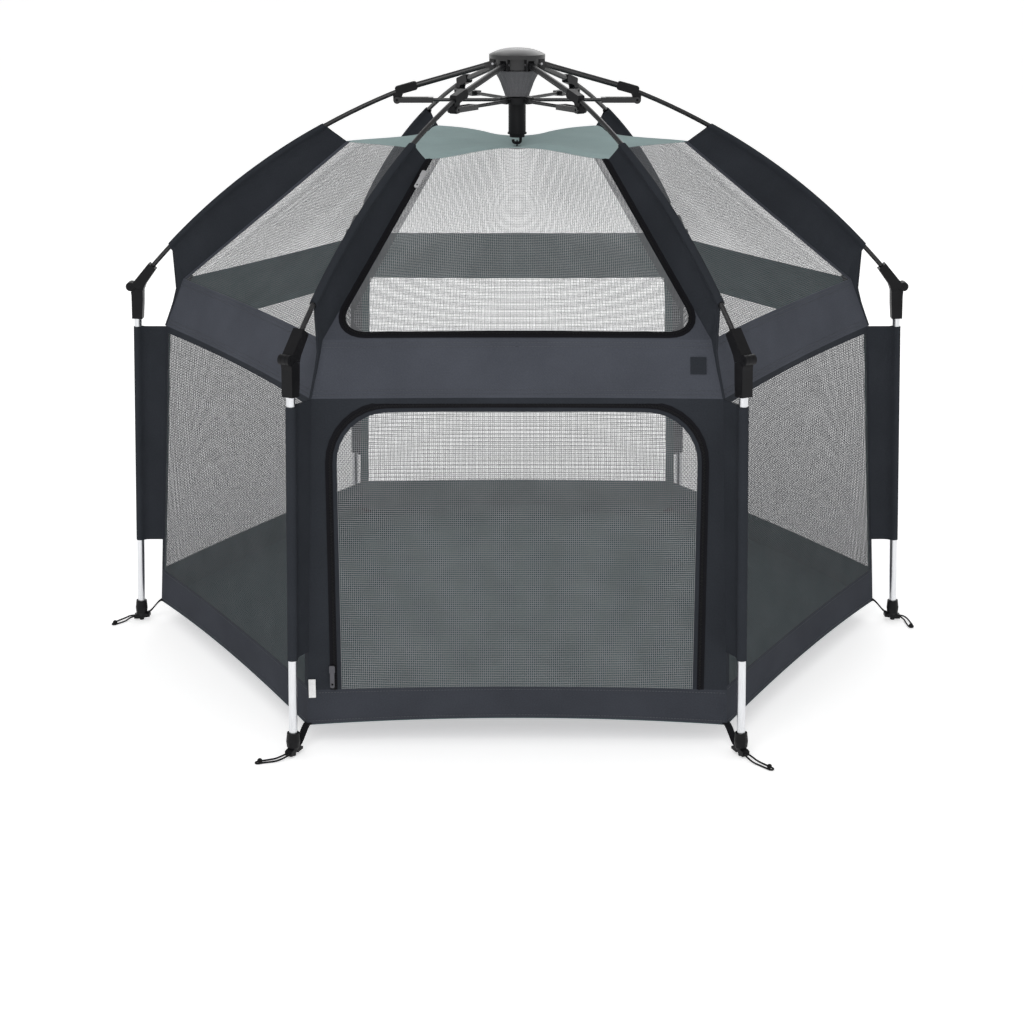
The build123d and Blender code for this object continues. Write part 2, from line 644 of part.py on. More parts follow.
def add_sector(corner, radius, height, middles, hole=0.0):
    """Sixth of a flat hexagon, centred on a corner; middles are the distances of its two sides' middles."""
    half_step = math.radians(STEP / 2)
    left, right = ((reach * math.cos(half_step), reach * math.sin(half_step)) for reach in middles)
    with BuildSketch(Plane(origin=(0, 0, height), x_dir=corner_directions(corner)[0])) as sector:
        Polygon((SEAM_GAP * 2, 0), (left[0], left[1] - SEAM_GAP), (radius, 0),
                (right[0], SEAM_GAP - right[1]), align=None)
        if hole:
            Circle(hole, mode=Mode.SUBTRACT)
    extrude(sector.sketch, amount=-SHEET)


def make_canopy(corner):
    """Upper fabric of one corner: rib sleeve fin, belt and mesh halves and a sixth of the roof."""
    inner, web = unit(ROOF_CORNER, WEB_INNER)
    start, end = rod_arc_point(SLEEVE_START, SLEEVE_OFFSET), rod_arc_point(SLEEVE_END, SLEEVE_OFFSET)
    with BuildPart() as canopy:
        with BuildSketch(radial_plane(corner)):
            with BuildLine():
                ThreePointArc(start, rod_arc_point((SLEEVE_START + SLEEVE_END) / 2, SLEEVE_OFFSET), end)
                Polyline(end, (603, 623), BELT_LOW, (BELT_LOW[0] - 12, BELT_LOW[1]), WEB_INNER)
                ThreePointArc(WEB_INNER, along_line(ROOF_CORNER, inner, web / 2, 7.0), ROOF_CORNER)
                Line(ROOF_CORNER, start)
            make_face()
        extrude(amount=FIN / 2, both=True)
        add_half_panels(corner, BELT_LOW, BELT_TOP)
        add_half_windows(corner)
        sides = (STEP * (corner - 1) + STEP / 2, STEP * (corner - 1) - STEP / 2)
        add_sector(corner, ROOF_CORNER[0], ROOF_CORNER[1], [roof_edge(angle) for angle in sides], ROOF_HOLE)
    finish(canopy.part, f"canopy_{corner}", f"canopy_{corner}")


def door_outline(gap):
    """Door shape with rounded top corners, grown or shrunk by a gap, drawn in the front wall's plane."""
    half, low, high, radius = DOOR_HALF - gap, DOOR_LOW + gap, DOOR_HIGH - gap, DOOR_CORNER - gap
    with BuildLine() as outline:
        Polyline((-half, high - radius), (-half, low), (half, low), (half, high - radius))
        RadiusArc((half, high - radius), (half - radius, high), -radius)
        Line((half - radius, high), (radius - half, high))
        RadiusArc((radius - half, high), (-half, high - radius), -radius)
    make_face(outline.edges())


def make_wall(corner):
    """Lower fabric of one corner: leg sleeve fin, wall halves, a sixth of the floor and the foot strap."""
    with BuildPart() as wall:
        add_half_panels(corner, FLOOR_CORNER, WALL_TOP)
        if corner in (5, 6):
            with BuildSketch(face_plane(FRONT, FLOOR_CORNER, WALL_TOP)[0]):
                door_outline(0.0)
            extrude(amount=5.0, both=True, mode=Mode.SUBTRACT)
        with BuildSketch(radial_plane(corner)):
            Polygon((623, WALL_TOP[1]), (664.5, WALL_TOP[1]), leg_point(157.0, -8.0), (650, 157),
                    (640, 250), align=None)
        extrude(amount=FIN / 2, both=True)
        floor_edge = FLOOR_CORNER[0] * math.cos(math.radians(STEP / 2))
        add_sector(corner, FLOOR_CORNER[0], FLOOR_CORNER[1], (floor_edge, floor_edge))
        with BuildSketch(radial_plane(corner)):
            Polygon((657, 36.2), (662, 40.5), (687, 16.6), (685.5, 12.4), (683.5, 12.2), align=None)
        extrude(amount=STRAP_HALF, both=True)
    finish(wall.part, f"wall_{corner}", f"wall_{corner}")


def make_door():
    """Mesh door that fills the front opening and drops on its lower edge."""
    with BuildPart() as door:
        with BuildSketch(face_plane(FRONT, FLOOR_CORNER, WALL_TOP)[0]):
            door_outline(DOOR_GAP)
        extrude(amount=-SHEET)
    finish(door.part, "door", "door")


def make_zip_slider(name, plane):
    """Zip slider with its hanging pull, standing just off the fabric; the plane's y points up the zip."""
    with BuildPart() as slider:
        with BuildSketch(plane.offset(SLIDER_GAP)):
            RectangleRounded(9.0, 13.0, 2.5)
        extrude(amount=4.0)
        with BuildSketch(plane.offset(SLIDER_GAP + 2.0)):
            with Locations((0, -16)):
                RectangleRounded(7.0, 28.0, 2.8)
            with Locations((0, -24)):
                Circle(1.8, mode=Mode.SUBTRACT)
        extrude(amount=2.2)
    finish(slider.part, name, name)


def make_zip_sliders():
    """Door slider at the zip's lower left end, window slider at its upper left end."""
    front, _ = face_plane(FRONT, FLOOR_CORNER, WALL_TOP)
    make_zip_slider("door_slider", Plane(origin=front.from_local_coords((-DOOR_HALF - 4.0, 92.0)),
                                         x_dir=front.x_dir, z_dir=front.z_dir))
    window, slope = face_plane(FRONT, BELT_TOP, ROOF_CORNER)
    corner_line = Vector((BELT_TOP[0] - ROOF_CORNER[0]) / 2, slope).normalized()
    zip_x = window.from_local_coords((corner_line.X, corner_line.Y)) - window.origin
    make_zip_slider("window_slider",
                    Plane(origin=window.from_local_coords((-149.0, slope - 34.0)),
                          x_dir=zip_x.cross(window.z_dir), z_dir=window.z_dir))


def main():
    """Write every node."""
    os.makedirs("parts", exist_ok=True)
    for corner in range(1, CORNERS + 1):
        make_rib(corner)
        make_rib_fittings(corner)
        make_strut(corner)
        make_leg_tube(corner)
        make_leg_fittings(corner)
        make_ground_loop(corner)
        make_canopy(corner)
        make_wall(corner)
    make_hub_ring()
    make_pins("hub_pins", HUB_PIVOT, HUB_PIN_RADIUS, HUB_PIN_HALF)
    make_hub_cap()
    make_centre_shaft()
    make_shaft_hook()
    make_runner()
    make_pins("runner_pins", STRUT_INNER, STRUT_PIN_RADIUS, STRUT_PIN_HALF)
    make_grip()
    make_boot()
    make_door()
    make_zip_sliders()


main()
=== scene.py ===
import math
import bmesh
import bpy
from mathutils import Matrix, Vector


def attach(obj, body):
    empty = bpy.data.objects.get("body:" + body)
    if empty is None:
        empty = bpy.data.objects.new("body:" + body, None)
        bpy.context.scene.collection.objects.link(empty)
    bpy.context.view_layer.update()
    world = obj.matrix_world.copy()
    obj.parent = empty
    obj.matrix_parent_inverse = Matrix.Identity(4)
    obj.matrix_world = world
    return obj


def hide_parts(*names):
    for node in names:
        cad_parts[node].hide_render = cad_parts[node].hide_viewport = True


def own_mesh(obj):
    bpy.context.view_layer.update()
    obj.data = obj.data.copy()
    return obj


# Looks of the six-sided pop-up play yard: hub frame, folding legs and a hung fabric body.
# Metres. Corner 1 points along +X, the others follow every 60 degrees; the door faces -Y.

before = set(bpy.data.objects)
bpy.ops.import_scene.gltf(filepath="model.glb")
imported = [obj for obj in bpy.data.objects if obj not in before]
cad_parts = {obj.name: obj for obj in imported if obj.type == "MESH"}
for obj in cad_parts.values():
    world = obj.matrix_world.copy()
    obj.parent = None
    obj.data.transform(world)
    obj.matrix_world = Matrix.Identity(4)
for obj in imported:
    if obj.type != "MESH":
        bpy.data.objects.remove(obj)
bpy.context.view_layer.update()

CORNERS = range(1, 7)
FACES = [30.0 + 60.0 * n for n in range(6)]
FRONT = 270.0
APOTHEM = math.cos(math.radians(30.0))

# Corner line of the fabric body as (radius, height), from the floor up
FLOOR_CORNER = (0.661, 0.037)
WALL_TOP = (0.625, 0.5566)
BELT_TOP = (0.590, 0.641)
ROOF_CORNER = (0.2953, 0.881)
PROFILE = [FLOOR_CORNER, WALL_TOP, BELT_TOP, ROOF_CORNER]

# The frame's own line: foot, top of the leg, and the curved rod between hub arm and leg joint
FOOT_RADIUS = 0.700
LEG_TOP = (0.6735, 0.5706)
ARM_END = (0.190, 0.971)
ROD_END = (0.650, 0.655)
ROD_BEND = 1.150
CLOTH = 0.0009  # thickness of panels, floor and roof

# ---- camera and cords

CAMERA_PLACE = (0.0, -3.3565, 1.2558)
CAMERA_PITCH = 72.68
CAMERA_LENS, SENSOR_WIDTH, CAMERA_SHIFT = 67.43, 36.0, -0.005
CORD_DIAMETER = 0.003
CORD_ROUTES = {  # millimetres outward from the foot's centre, sideways and up
    1: [(13, 3.2, 6.5), (21, 2.6, 5.8), (27, -5, 2.6), (29, -17, 1.6), (30, -31, 1.6), (30.5, -42, 1.6),
        (28.5, -48, 1.6), (23.5, -47.5, 1.6), (21.8, -41, 1.6), (21, -29, 1.6), (20.5, -18, 1.6),
        (19.5, -8.5, 3.4), (13, -3.2, 6.5)],
    2: [(13, 3.2, 6.5), (21, 4.2, 5.6), (29, 8.5, 2.2), (38, 15, 1.6), (48, 19, 1.6), (57, 19.5, 1.6),
        (61.5, 15.5, 1.6), (58.8, 11.2, 1.6), (50, 9, 1.6), (40, 5.5, 1.6), (30, 1, 2.0), (21, -2.6, 5.4),
        (13, -3.2, 6.5)],
    3: [(13, 3.2, 6.5), (21, 3.6, 5.6), (29, 0.5, 2.2), (38, -6, 1.6), (46, -14, 1.6), (52.5, -22, 1.6),
        (51.5, -28.2, 1.6), (46.5, -29.4, 1.6), (41, -23.5, 1.6), (34, -16.5, 1.6), (27, -10.5, 2.2),
        (20, -5.5, 5.2), (13, -3.2, 6.5)],
    4: [(13, -3.2, 6.5), (21, -4.4, 5.8), (30, -1, 2.4), (38, 7.5, 1.6), (44, 17, 1.6), (49, 27, 1.6),
        (48.6, 33.4, 1.6), (43.4, 33.6, 1.6), (38.5, 27.5, 1.6), (31.5, 20, 1.6), (25.5, 13, 2.2),
        (20.5, 6, 5.2), (13, 3.2, 6.5)],
    5: [(13, -3.2, 6.5), (20, -5.6, 5.6), (27.5, -12.5, 2.2), (36, -20.5, 1.6), (45, -28, 1.6),
        (52, -33, 1.6), (57, -30.5, 1.6), (56, -25.8, 1.6), (49, -21.5, 1.6), (42, -14, 1.6),
        (34, -6.5, 1.8), (24, 0.6, 4.8), (13, 3.2, 6.5)],
    6: [(13, 3.2, 6.5), (22, 4.2, 5.4), (33, 6.6, 2.0), (45, 8.4, 1.6), (57, 10.5, 1.6), (66.5, 12.2, 1.6),
        (71.5, 8.8, 1.6), (69.5, 4.2, 1.6), (60, 2.4, 1.6), (48, 0.2, 1.6), (36, -2.2, 1.6),
        (24, -3.8, 4.6), (13, -3.2, 6.5)],
}
KNOT_PLACES = {1: (25.5, -45), 2: (54, 14), 3: (47, -22), 4: (44, 28), 5: (50, -27), 6: (63, 7.5)}
KNOT_HEIGHT = 4.2
KNOT_TURNS = ((78, 10), (62, 75), (84, 140))  # tilt and spin in degrees
KNOT_RADIUS, KNOT_TIGHTER, KNOT_THICKNESS = 0.0027, 0.0002, 0.0014


def heading(azimuth):
    """Level unit vectors outward at an azimuth in degrees, and to the left of that."""
    angle = math.radians(azimuth)
    outward = Vector((math.cos(angle), math.sin(angle), 0.0))
    return outward, Vector((-outward.y, outward.x, 0.0))


def directions(corner):
    """Unit vectors outward through a corner and along the hexagon at it."""
    return heading(60.0 * (corner - 1))


def at_corner(corner, radius, height, side):
    """Point at a distance to the side of a corner's radial plane."""
    outward, along = directions(corner)
    return outward * radius + along * side + Vector((0.0, 0.0, height))


def link(name, data):
    """New object in the scene."""
    piece = bpy.data.objects.new(name, data)
    bpy.context.scene.collection.objects.link(piece)
    return piece


def make_camera():
    """The photograph's view: in front, a little above the hub, looking down at the middle."""
    camera = link("camera", bpy.data.cameras.new("camera"))
    camera.location = CAMERA_PLACE
    camera.rotation_euler = (math.radians(CAMERA_PITCH), 0.0, 0.0)
    camera.data.lens = CAMERA_LENS
    camera.data.sensor_width = SENSOR_WIDTH
    camera.data.shift_x = CAMERA_SHIFT
    bpy.context.scene.camera = camera


# ---- materials

CLOTH_GLOSS = 0.03


class Shader:
    """A Principled material and short calls that add nodes to it."""

    def __init__(self, name, roughness=0.5, metallic=0.0, sheen=0.0, gloss=0.5):
        self.material = bpy.data.materials.new(name)
        self.material.use_nodes = True
        self.tree = self.material.node_tree
        self.main = self.tree.nodes["Principled BSDF"]
        self.main.inputs["Roughness"].default_value = roughness
        self.main.inputs["Metallic"].default_value = metallic
        self.main.inputs["Specular IOR Level"].default_value = gloss
        if sheen:
            self.main.inputs["Sheen Weight"].default_value = sheen
            self.main.inputs["Sheen Roughness"].default_value = 0.4

    def node(self, kind, *inputs, **settings):
        """Adds a node, with values or sockets for its inputs in order, and returns its first output."""
        made = self.tree.nodes.new(kind)
        for key, value in settings.items():
            setattr(made, key, value)
        for socket, value in zip(made.inputs, inputs):
            if isinstance(value, bpy.types.NodeSocket):
                self.tree.links.new(value, socket)
            elif value is not None:
                socket.default_value = value
        return made.outputs[0]

    def math(self, operation, *inputs):
        return self.node("ShaderNodeMath", *inputs, operation=operation)

    def place(self, cloth):
        """Flat-cut coordinates of the cloth in metres, or the object's own."""
        if cloth:
            return self.node("ShaderNodeUVMap", uv_map="cloth")
        return self.tree.nodes.new("ShaderNodeTexCoord").outputs["Object"]

    def noise(self, place, scale, detail=3.0):
        return self.node("ShaderNodeTexNoise", place, None, scale, detail)

    def colour(self, value, low, high, colour, dark, light):
        """Base colour from a darker to a lighter shade as value goes from low to high."""
        made = self.node("ShaderNodeValToRGB", value).node
        for element, position, factor in zip(made.color_ramp.elements, (low, high), (dark, light)):
            element.position = position
            element.color = (*shade(colour, factor), 1.0)
        self.tree.links.new(made.outputs["Color"], self.main.inputs["Base Color"])

    def rough(self, value, change, base):
        """Roughness that changes with value."""
        varied = self.math("ADD", self.math("MULTIPLY", value, change), base)
        self.tree.links.new(varied, self.main.inputs["Roughness"])

    def bump(self, height, strength, distance):
        made = self.node("ShaderNodeBump", strength, distance).node
        self.tree.links.new(height, made.inputs["Height"])
        self.tree.links.new(made.outputs["Normal"], self.main.inputs["Normal"])


def shade(colour, factor):
    """A colour made darker or lighter."""
    return tuple(min(1.0, c * factor) for c in colour)


def weave_waves(shader, place, pitch):
    """Waves across the two thread directions, with no thread along the cloth's own middle lines."""
    axes = shader.node("ShaderNodeSeparateXYZ", place).node.outputs
    return [shader.math("COSINE", shader.math("MULTIPLY", axes[i], math.pi / pitch)) for i in (0, 1)]


def woven(name, colour, pitch=0.0012, cloth=True, contrast=0.18, sheen=0.0):
    """Plain-woven fabric: thread relief, mottled colour with painted shade between the threads, and faint
    creases.
    """
    shader = Shader(name, roughness=0.85, sheen=sheen, gloss=CLOTH_GLOSS)
    place = shader.place(cloth)
    across, up = weave_waves(shader, place, pitch)
    thread = shader.math("MULTIPLY", across, up)
    cloudy = shader.noise(place, 9.0, 4.0)
    fine = shader.noise(place, 420.0, 2.0)
    mixed = shader.math("ADD", shader.math("MULTIPLY", cloudy, 0.6), shader.math("MULTIPLY", fine, 0.4))
    # Painted shade: the colour lightens on the thread crowns and darkens between the threads
    thread_shaded_mottle = shader.math("ADD", mixed, shader.math("MULTIPLY", thread, 0.12))
    shader.colour(thread_shaded_mottle, 0.3, 0.7, colour, 1 - contrast, 1 + contrast)
    crease = shader.noise(place, 26.0, 5.0)
    height = shader.math("ADD", shader.math("MULTIPLY", thread, 0.25), shader.math("MULTIPLY", crease, 2.6))
    shader.bump(height, 0.45, 0.0012)
    return shader.material


def netting(name, colour, pitch, thread):
    """Open net: square holes between threads, which cover more of it as thread goes from 0 to 1."""
    shader = Shader(name, roughness=0.8, gloss=CLOTH_GLOSS)
    place = shader.place(True)
    across, up = weave_waves(shader, place, pitch)
    nearest = shader.math("MINIMUM", shader.math("ABSOLUTE", across), shader.math("ABSOLUTE", up))
    shader.tree.links.new(shader.math("LESS_THAN", nearest, thread), shader.main.inputs["Alpha"])
    cloudy = shader.noise(place, 14.0, 3.0)
    shader.colour(cloudy, 0.3, 0.7, colour, 0.88, 1.12)
    return shader.material


def moulded(name, colour, roughness=0.42, grain=900.0, gloss=0.25):
    """Moulded plastic or painted rod: fine grain, slight cloudiness and polished patches."""
    shader = Shader(name, roughness=roughness, gloss=gloss)
    place = shader.place(False)
    cloudy = shader.noise(place, 30.0, 4.0)
    shader.colour(cloudy, 0.3, 0.75, colour, 0.8, 1.35)
    shader.rough(cloudy, 0.25, roughness - 0.12)
    shader.bump(shader.noise(place, grain, 2.0), 0.12, 0.0004)
    return shader.material


def brushed(name, colour, roughness=0.3, stretch=(900.0, 900.0, 12.0)):
    """Drawn metal tube: fine lines along its length."""
    shader = Shader(name, roughness=roughness, metallic=1.0)
    place = shader.node("ShaderNodeMapping", shader.place(False), None, None, stretch)
    lines = shader.noise(place, 1.0, 3.0)
    shader.colour(lines, 0.3, 0.7, colour, 0.88, 1.05)
    shader.rough(lines, 0.2, roughness - 0.1)
    shader.bump(lines, 0.1, 0.0002)
    return shader.material


def braided(name, colour, pitch):
    """Small braid: cells of thread, lighter at their middles, with painted shade darkening the gaps between
    them.
    """
    shader = Shader(name, roughness=0.7, sheen=0.1, gloss=0.15)
    place = shader.place(False)
    cells = shader.node("ShaderNodeTexVoronoi", place, None, 1.0 / pitch)
    # Painted shade: darker towards the gaps between the strands
    shader.colour(cells, 0.0, 0.7, colour, 1.5, 0.5)
    shader.bump(cells, 0.6, 0.0008)
    return shader.material


CHARCOAL = (0.061, 0.066, 0.080)
DARK_CHARCOAL = (0.027, 0.030, 0.036)
GREY_GREEN = (0.070, 0.116, 0.118)
PALE_GREEN = (0.29, 0.375, 0.375)
NET_GREY = (0.235, 0.24, 0.25)
# Same net as NET_GREY with painted shade, for the side walls, which get less light
NET_SHADED = (0.085, 0.088, 0.095)
# Same net with lighter painted shade, for the side windows
NET_HALF_SHADED = (0.16, 0.165, 0.175)
# Same net with painted light, for the front and back windows, which face up to the light
NET_LIT = (0.40, 0.41, 0.42)

MATERIALS = {
    "canvas": woven("charcoal_canvas", CHARCOAL),
    "dark_canvas": woven("dark_charcoal_canvas", DARK_CHARCOAL),
    "hem_canvas": woven("hem_canvas", shade(CHARCOAL, 0.66)),
    "lining": woven("grey_green_lining", GREY_GREEN, contrast=0.14),
    "roof_fabric": woven("pale_roof", PALE_GREEN, contrast=0.08),
    "mesh": netting("grey_net", NET_GREY, 0.003, 0.28),
    # Copies of the grey net: painted shade on the side walls and side windows, painted light on the front
    # and back windows
    "side_mesh": netting("shaded_side_net", NET_SHADED, 0.003, 0.28),
    "upper_mesh": netting("half_shaded_upper_net", NET_HALF_SHADED, 0.003, 0.20),
    "window_mesh": netting("window_net", NET_LIT, 0.003, 0.18),
    "double_mesh": netting("doubled_net", shade(NET_GREY, 0.7), 0.0021, 0.52),
    "black_plastic": moulded("black_plastic", (0.007, 0.007, 0.008), gloss=0.14),
    "hub_black": moulded("hub_black", (0.010, 0.010, 0.011), roughness=0.30, gloss=0.5),
    "pull_grey": moulded("pull_grey", (0.42, 0.42, 0.43)),
    "rib_black": moulded("black_rod", (0.009, 0.009, 0.010), roughness=0.27, grain=500.0, gloss=0.5),
    "leg_aluminium": brushed("drawn_aluminium", (0.74, 0.75, 0.77)),
    "pin_steel": brushed("pin_steel", (0.50, 0.50, 0.52), roughness=0.35),
    "zip_slider": brushed("zip_slider", (0.10, 0.10, 0.11), roughness=0.4, stretch=(60.0, 60.0, 60.0)),
    "boot_grey": woven("boot_fabric", (0.115, 0.115, 0.122), cloth=False, sheen=0.2),
    "cord": braided("black_cord", (0.012, 0.012, 0.013), 0.0012),
    "zip_black": woven("zip_tape", (0.010, 0.010, 0.012), pitch=0.0016),
    "webbing": woven("black_webbing", (0.012, 0.012, 0.014), pitch=0.0018, cloth=False),
    "label_white": woven("label_cloth", (0.72, 0.72, 0.72), pitch=0.0008, cloth=False),
    "thread": woven("grey_thread", (0.085, 0.09, 0.10), pitch=0.0008, cloth=False),
}


def painted(piece, *names):
    """Gives a piece its materials."""
    piece.data.materials.clear()
    for name in names:
        piece.data.materials.append(MATERIALS[name])
    return piece


# ---- cords on the feet

RING_SECTION = 10


def finished(name, data):
    """New object from a bmesh, which is freed."""
    mesh = bpy.data.meshes.new(name)
    data.to_mesh(mesh)
    data.free()
    return link(name, mesh)


def bridge(data, low, high):
    """Quads between two closed rings of as many points."""
    for i in range(len(low)):
        j = (i + 1) % len(low)
        data.faces.new((low[i], low[j], high[j], high[i]))


def add_torus(data, place, radius, thickness, around):
    """Adds a closed ring of round section to a bmesh."""
    rings = []
    for i in range(around):
        turn = 2 * math.pi * i / around
        rings.append([])
        for j in range(RING_SECTION):
            swing = 2 * math.pi * j / RING_SECTION
            away = radius + thickness * math.cos(swing)
            spot = Vector((away * math.cos(turn), away * math.sin(turn), thickness * math.sin(swing)))
            rings[-1].append(data.verts.new(place @ spot))
    for i in range(around):
        bridge(data, rings[i], rings[(i + 1) % around])
    bmesh.ops.recalc_face_normals(data, faces=data.faces)


def foot_point(corner, out, side, up):
    """Point by a foot, from millimetres outward, sideways and up."""
    return at_corner(corner, FOOT_RADIUS + out / 1000, up / 1000, side / 1000)


def make_knot(corner):
    """Overhand knot pulled tight in the doubled cord: three fat crossing turns."""
    data = bmesh.new()
    centre = Matrix.Translation(foot_point(corner, *KNOT_PLACES[corner], KNOT_HEIGHT))
    for turn, (tilt, spin) in enumerate(KNOT_TURNS):
        ring = Matrix.Rotation(math.radians(spin), 4, "Z") @ Matrix.Rotation(math.radians(tilt), 4, "X")
        add_torus(data, centre @ ring, KNOT_RADIUS - KNOT_TIGHTER * turn, KNOT_THICKNESS, 20)
    return smooth(finished(f"knot_{corner}", data))


def smooth(piece):
    """Smooth shading all over."""
    for polygon in piece.data.polygons:
        polygon.use_smooth = True
    return piece


def make_cord(corner):
    """The doubled cord that lies out from a foot, with its knot."""
    points = [foot_point(corner, *spot) for spot in CORD_ROUTES[corner]]
    curve = bpy.data.curves.new(f"cord_{corner}", "CURVE")
    curve.dimensions = "3D"
    curve.bevel_depth = CORD_DIAMETER / 2
    curve.bevel_resolution = 3
    curve.use_fill_caps = True
    spline = curve.splines.new("NURBS")
    spline.points.add(len(points) - 1)
    for control, point in zip(spline.points, points):
        control.co = (*point, 1.0)
    spline.order_u = 3
    spline.use_endpoint_u = True
    spline.resolution_u = 8
    cord = painted(link(f"cord_{corner}", curve), "cord")
    knot = painted(make_knot(corner), "cord")
    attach(cord, f"leg_group_{corner}")
    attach(knot, f"leg_group_{corner}")
    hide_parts(f"ground_loop_{corner}")


make_camera()
for number in CORNERS:
    make_cord(number)

# ---- fabric surfaces

WALL_BOW = 0.005
BELT_BOW = 0.007
BELT_FOOT_BOW = 0.008
END_SCALLOP, SIDE_SCALLOP = 0.165, 0.050  # roof edges at front and back, and at the four sides
HEM_ARCH = 0.012
WINDOW_SAG = 0.004
PANEL_ROWS, PANEL_COLUMNS = 18, 16
GROUPS = ("leg", "rib", "rib")  # what carries each zone: wall, belt and window
STRIP_SHARE = 0.32  # a cut that fills less of its own box is a bent strip


def profile(level):
    """Corner radius and height at a level: 0 floor, 1 top of the wall, 2 top of the belt, 3 roof."""
    zone = min(int(level), 2)
    (r0, z0), (r1, z1) = PROFILE[zone], PROFILE[zone + 1]
    share = level - zone
    return r0 + (r1 - r0) * share, z0 + (z1 - z0) * share


def slope(level):
    """Length up the middle of a face from the floor to a level."""
    total = 0.0
    for zone in range(3):
        share = min(max(level - zone, 0.0), 1.0)
        (r0, z0), (r1, z1) = PROFILE[zone], PROFILE[zone + 1]
        total += share * math.hypot((r1 - r0) * APOTHEM, z1 - z0)
    return total


def zone_length(zone):
    """Length up the middle of a face's wall, belt or window."""
    return slope(zone + 1) - slope(zone)


def level_of(zone, height):
    """Level of a distance up a zone's slope."""
    return zone + height / zone_length(zone)


def roof_edge(face, share):
    """How far the roof's edge is drawn in from the straight line between its corners."""
    across = 1 - share * share
    scallop = END_SCALLOP if face % 180 == 90 else SIDE_SCALLOP
    return across * BELT_BOW + across ** 2 * (scallop - BELT_BOW)


def bow(face, share, level):
    """How far a face stands in from its plane: slack in the walls, deep scallop at the roof."""
    across = 1 - share * share
    if level < 1:
        return across * (WALL_BOW * math.sin(math.pi * level / 1.6) ** 2 + BELT_FOOT_BOW * level)
    if level < 2:
        return across * (BELT_FOOT_BOW + (BELT_BOW - BELT_FOOT_BOW) * (level - 1))
    rise = level - 2
    drawn = (roof_edge(face, share) - across * BELT_BOW) * rise ** 1.2
    return across * (BELT_BOW + WINDOW_SAG * 4 * rise * (1 - rise)) + drawn


def lift(share, level):
    """The lower edge of a wall is drawn up in the middle."""
    return HEM_ARCH * (1 - share * share) * max(0.0, 1 - level * 3.0) ** 2


def face_point(face, share, level, out=0.0):
    """Point of a face; share runs from -1 at one corner to 1 at the next, out stands off the cloth."""
    outward, along = heading(face)
    radius, height = profile(level)
    place = outward * (radius * APOTHEM - bow(face, share, level)) + along * (share * radius / 2)
    place.z = height + lift(share, level)
    if out:
        (r0, z0), (r1, z1) = PROFILE[min(int(level), 2)], PROFILE[min(int(level), 2) + 1]
        normal = (outward * (z1 - z0) + Vector((0, 0, (r0 - r1) * APOTHEM))).normalized()
        place += normal * out
    return place


def cloth_place(share, level):
    """Flat-cut coordinates of a face point, in metres."""
    return share * profile(level)[0] / 2, slope(level)


def face_grid(face, side, levels, start, end, columns=PANEL_COLUMNS):
    """Rows of (point, cloth place) between two shares that may change with the level."""
    rows = []
    for level in levels:
        first, last = start(level), end(level)
        shares = [side * (first + (last - first) * i / columns) for i in range(columns + 1)]
        rows.append([(face_point(face, share, level), cloth_place(share, level)) for share in shares])
    return rows


def spread(low, high, count):
    """Evenly spaced numbers, both ends included."""
    return [low + (high - low) * i / count for i in range(count + 1)]


def at(value):
    """The same share at every level."""
    return lambda level: value


def inset(width):
    """The share that lies a width in from the corner line."""
    return lambda level: 1 - width / (profile(level)[0] / 2)


def shell(name, grids, thickness, facing=None):
    """One thin closed piece of cloth from grids that share edges; its outside looks towards facing."""
    places, flat, index, polygons = [], [], {}, []
    for grid in grids:
        ids = []
        for row in grid:
            ids.append([])
            for point, cloth in row:
                key = tuple(round(c, 6) for c in point)
                if key not in index:
                    index[key] = len(places)
                    places.append(point)
                    flat.append(cloth)
                ids[-1].append(index[key])
        for lower, upper in zip(ids, ids[1:]):
            for quad in zip(lower, lower[1:], upper[1:], upper):
                corners = list(dict.fromkeys(quad))
                if len(corners) > 2:
                    polygons.append(corners)
    mesh = bpy.data.meshes.new(name)
    mesh.from_pydata(places, [], polygons)
    mesh.update()
    looking = sum((p.normal * p.area for p in mesh.polygons), Vector())
    if facing and looking.dot(facing) < 0:
        mesh.flip_normals()
    layer = mesh.uv_layers.new(name="cloth")
    for loop in mesh.loops:
        layer.data[loop.index].uv = flat[loop.vertex_index]
    used = {}
    for polygon in mesh.polygons:
        polygon.use_smooth = True
        for edge in polygon.edge_keys:
            used[edge] = used.get(edge, 0) + 1
    sharp = mesh.attributes.new("sharp_edge", "BOOLEAN", "EDGE")
    sharp.data.foreach_set("value", [used[edge.key] == 1 for edge in mesh.edges])
    piece = link(name, mesh)
    solid = piece.modifiers.new("thickness", "SOLIDIFY")
    solid.thickness = thickness
    solid.offset = -1.0
    solid.material_offset = 1
    return piece


def flat_area(piece):
    """Area of the flat cut, from the cloth coordinates."""
    layer = piece.data.uv_layers["cloth"].data
    total = 0.0
    for polygon in piece.data.polygons:
        corners = [layer[i].uv for i in polygon.loop_indices]
        total += abs(sum(a.x * b.y - b.x * a.y for a, b in zip(corners, corners[1:] + corners[:1]))) / 2
    return total


def declare(piece):
    """Works out the size of the flat cut of a piece of stretched cloth; a cut that fills little of its box
    counts as a thin strip.
    """
    spots = [d.uv for d in piece.data.uv_layers["cloth"].data]
    width = max(s.x for s in spots) - min(s.x for s in spots)
    length = max(s.y for s in spots) - min(s.y for s in spots)
    area = flat_area(piece)
    if area < STRIP_SHARE * width * length:
        width, length = area / (width + length), width + length


def corner_of(face, side):
    """Number of the corner at that side of a face."""
    return int(round((face + 30.0 * side) / 60.0)) % 6 + 1


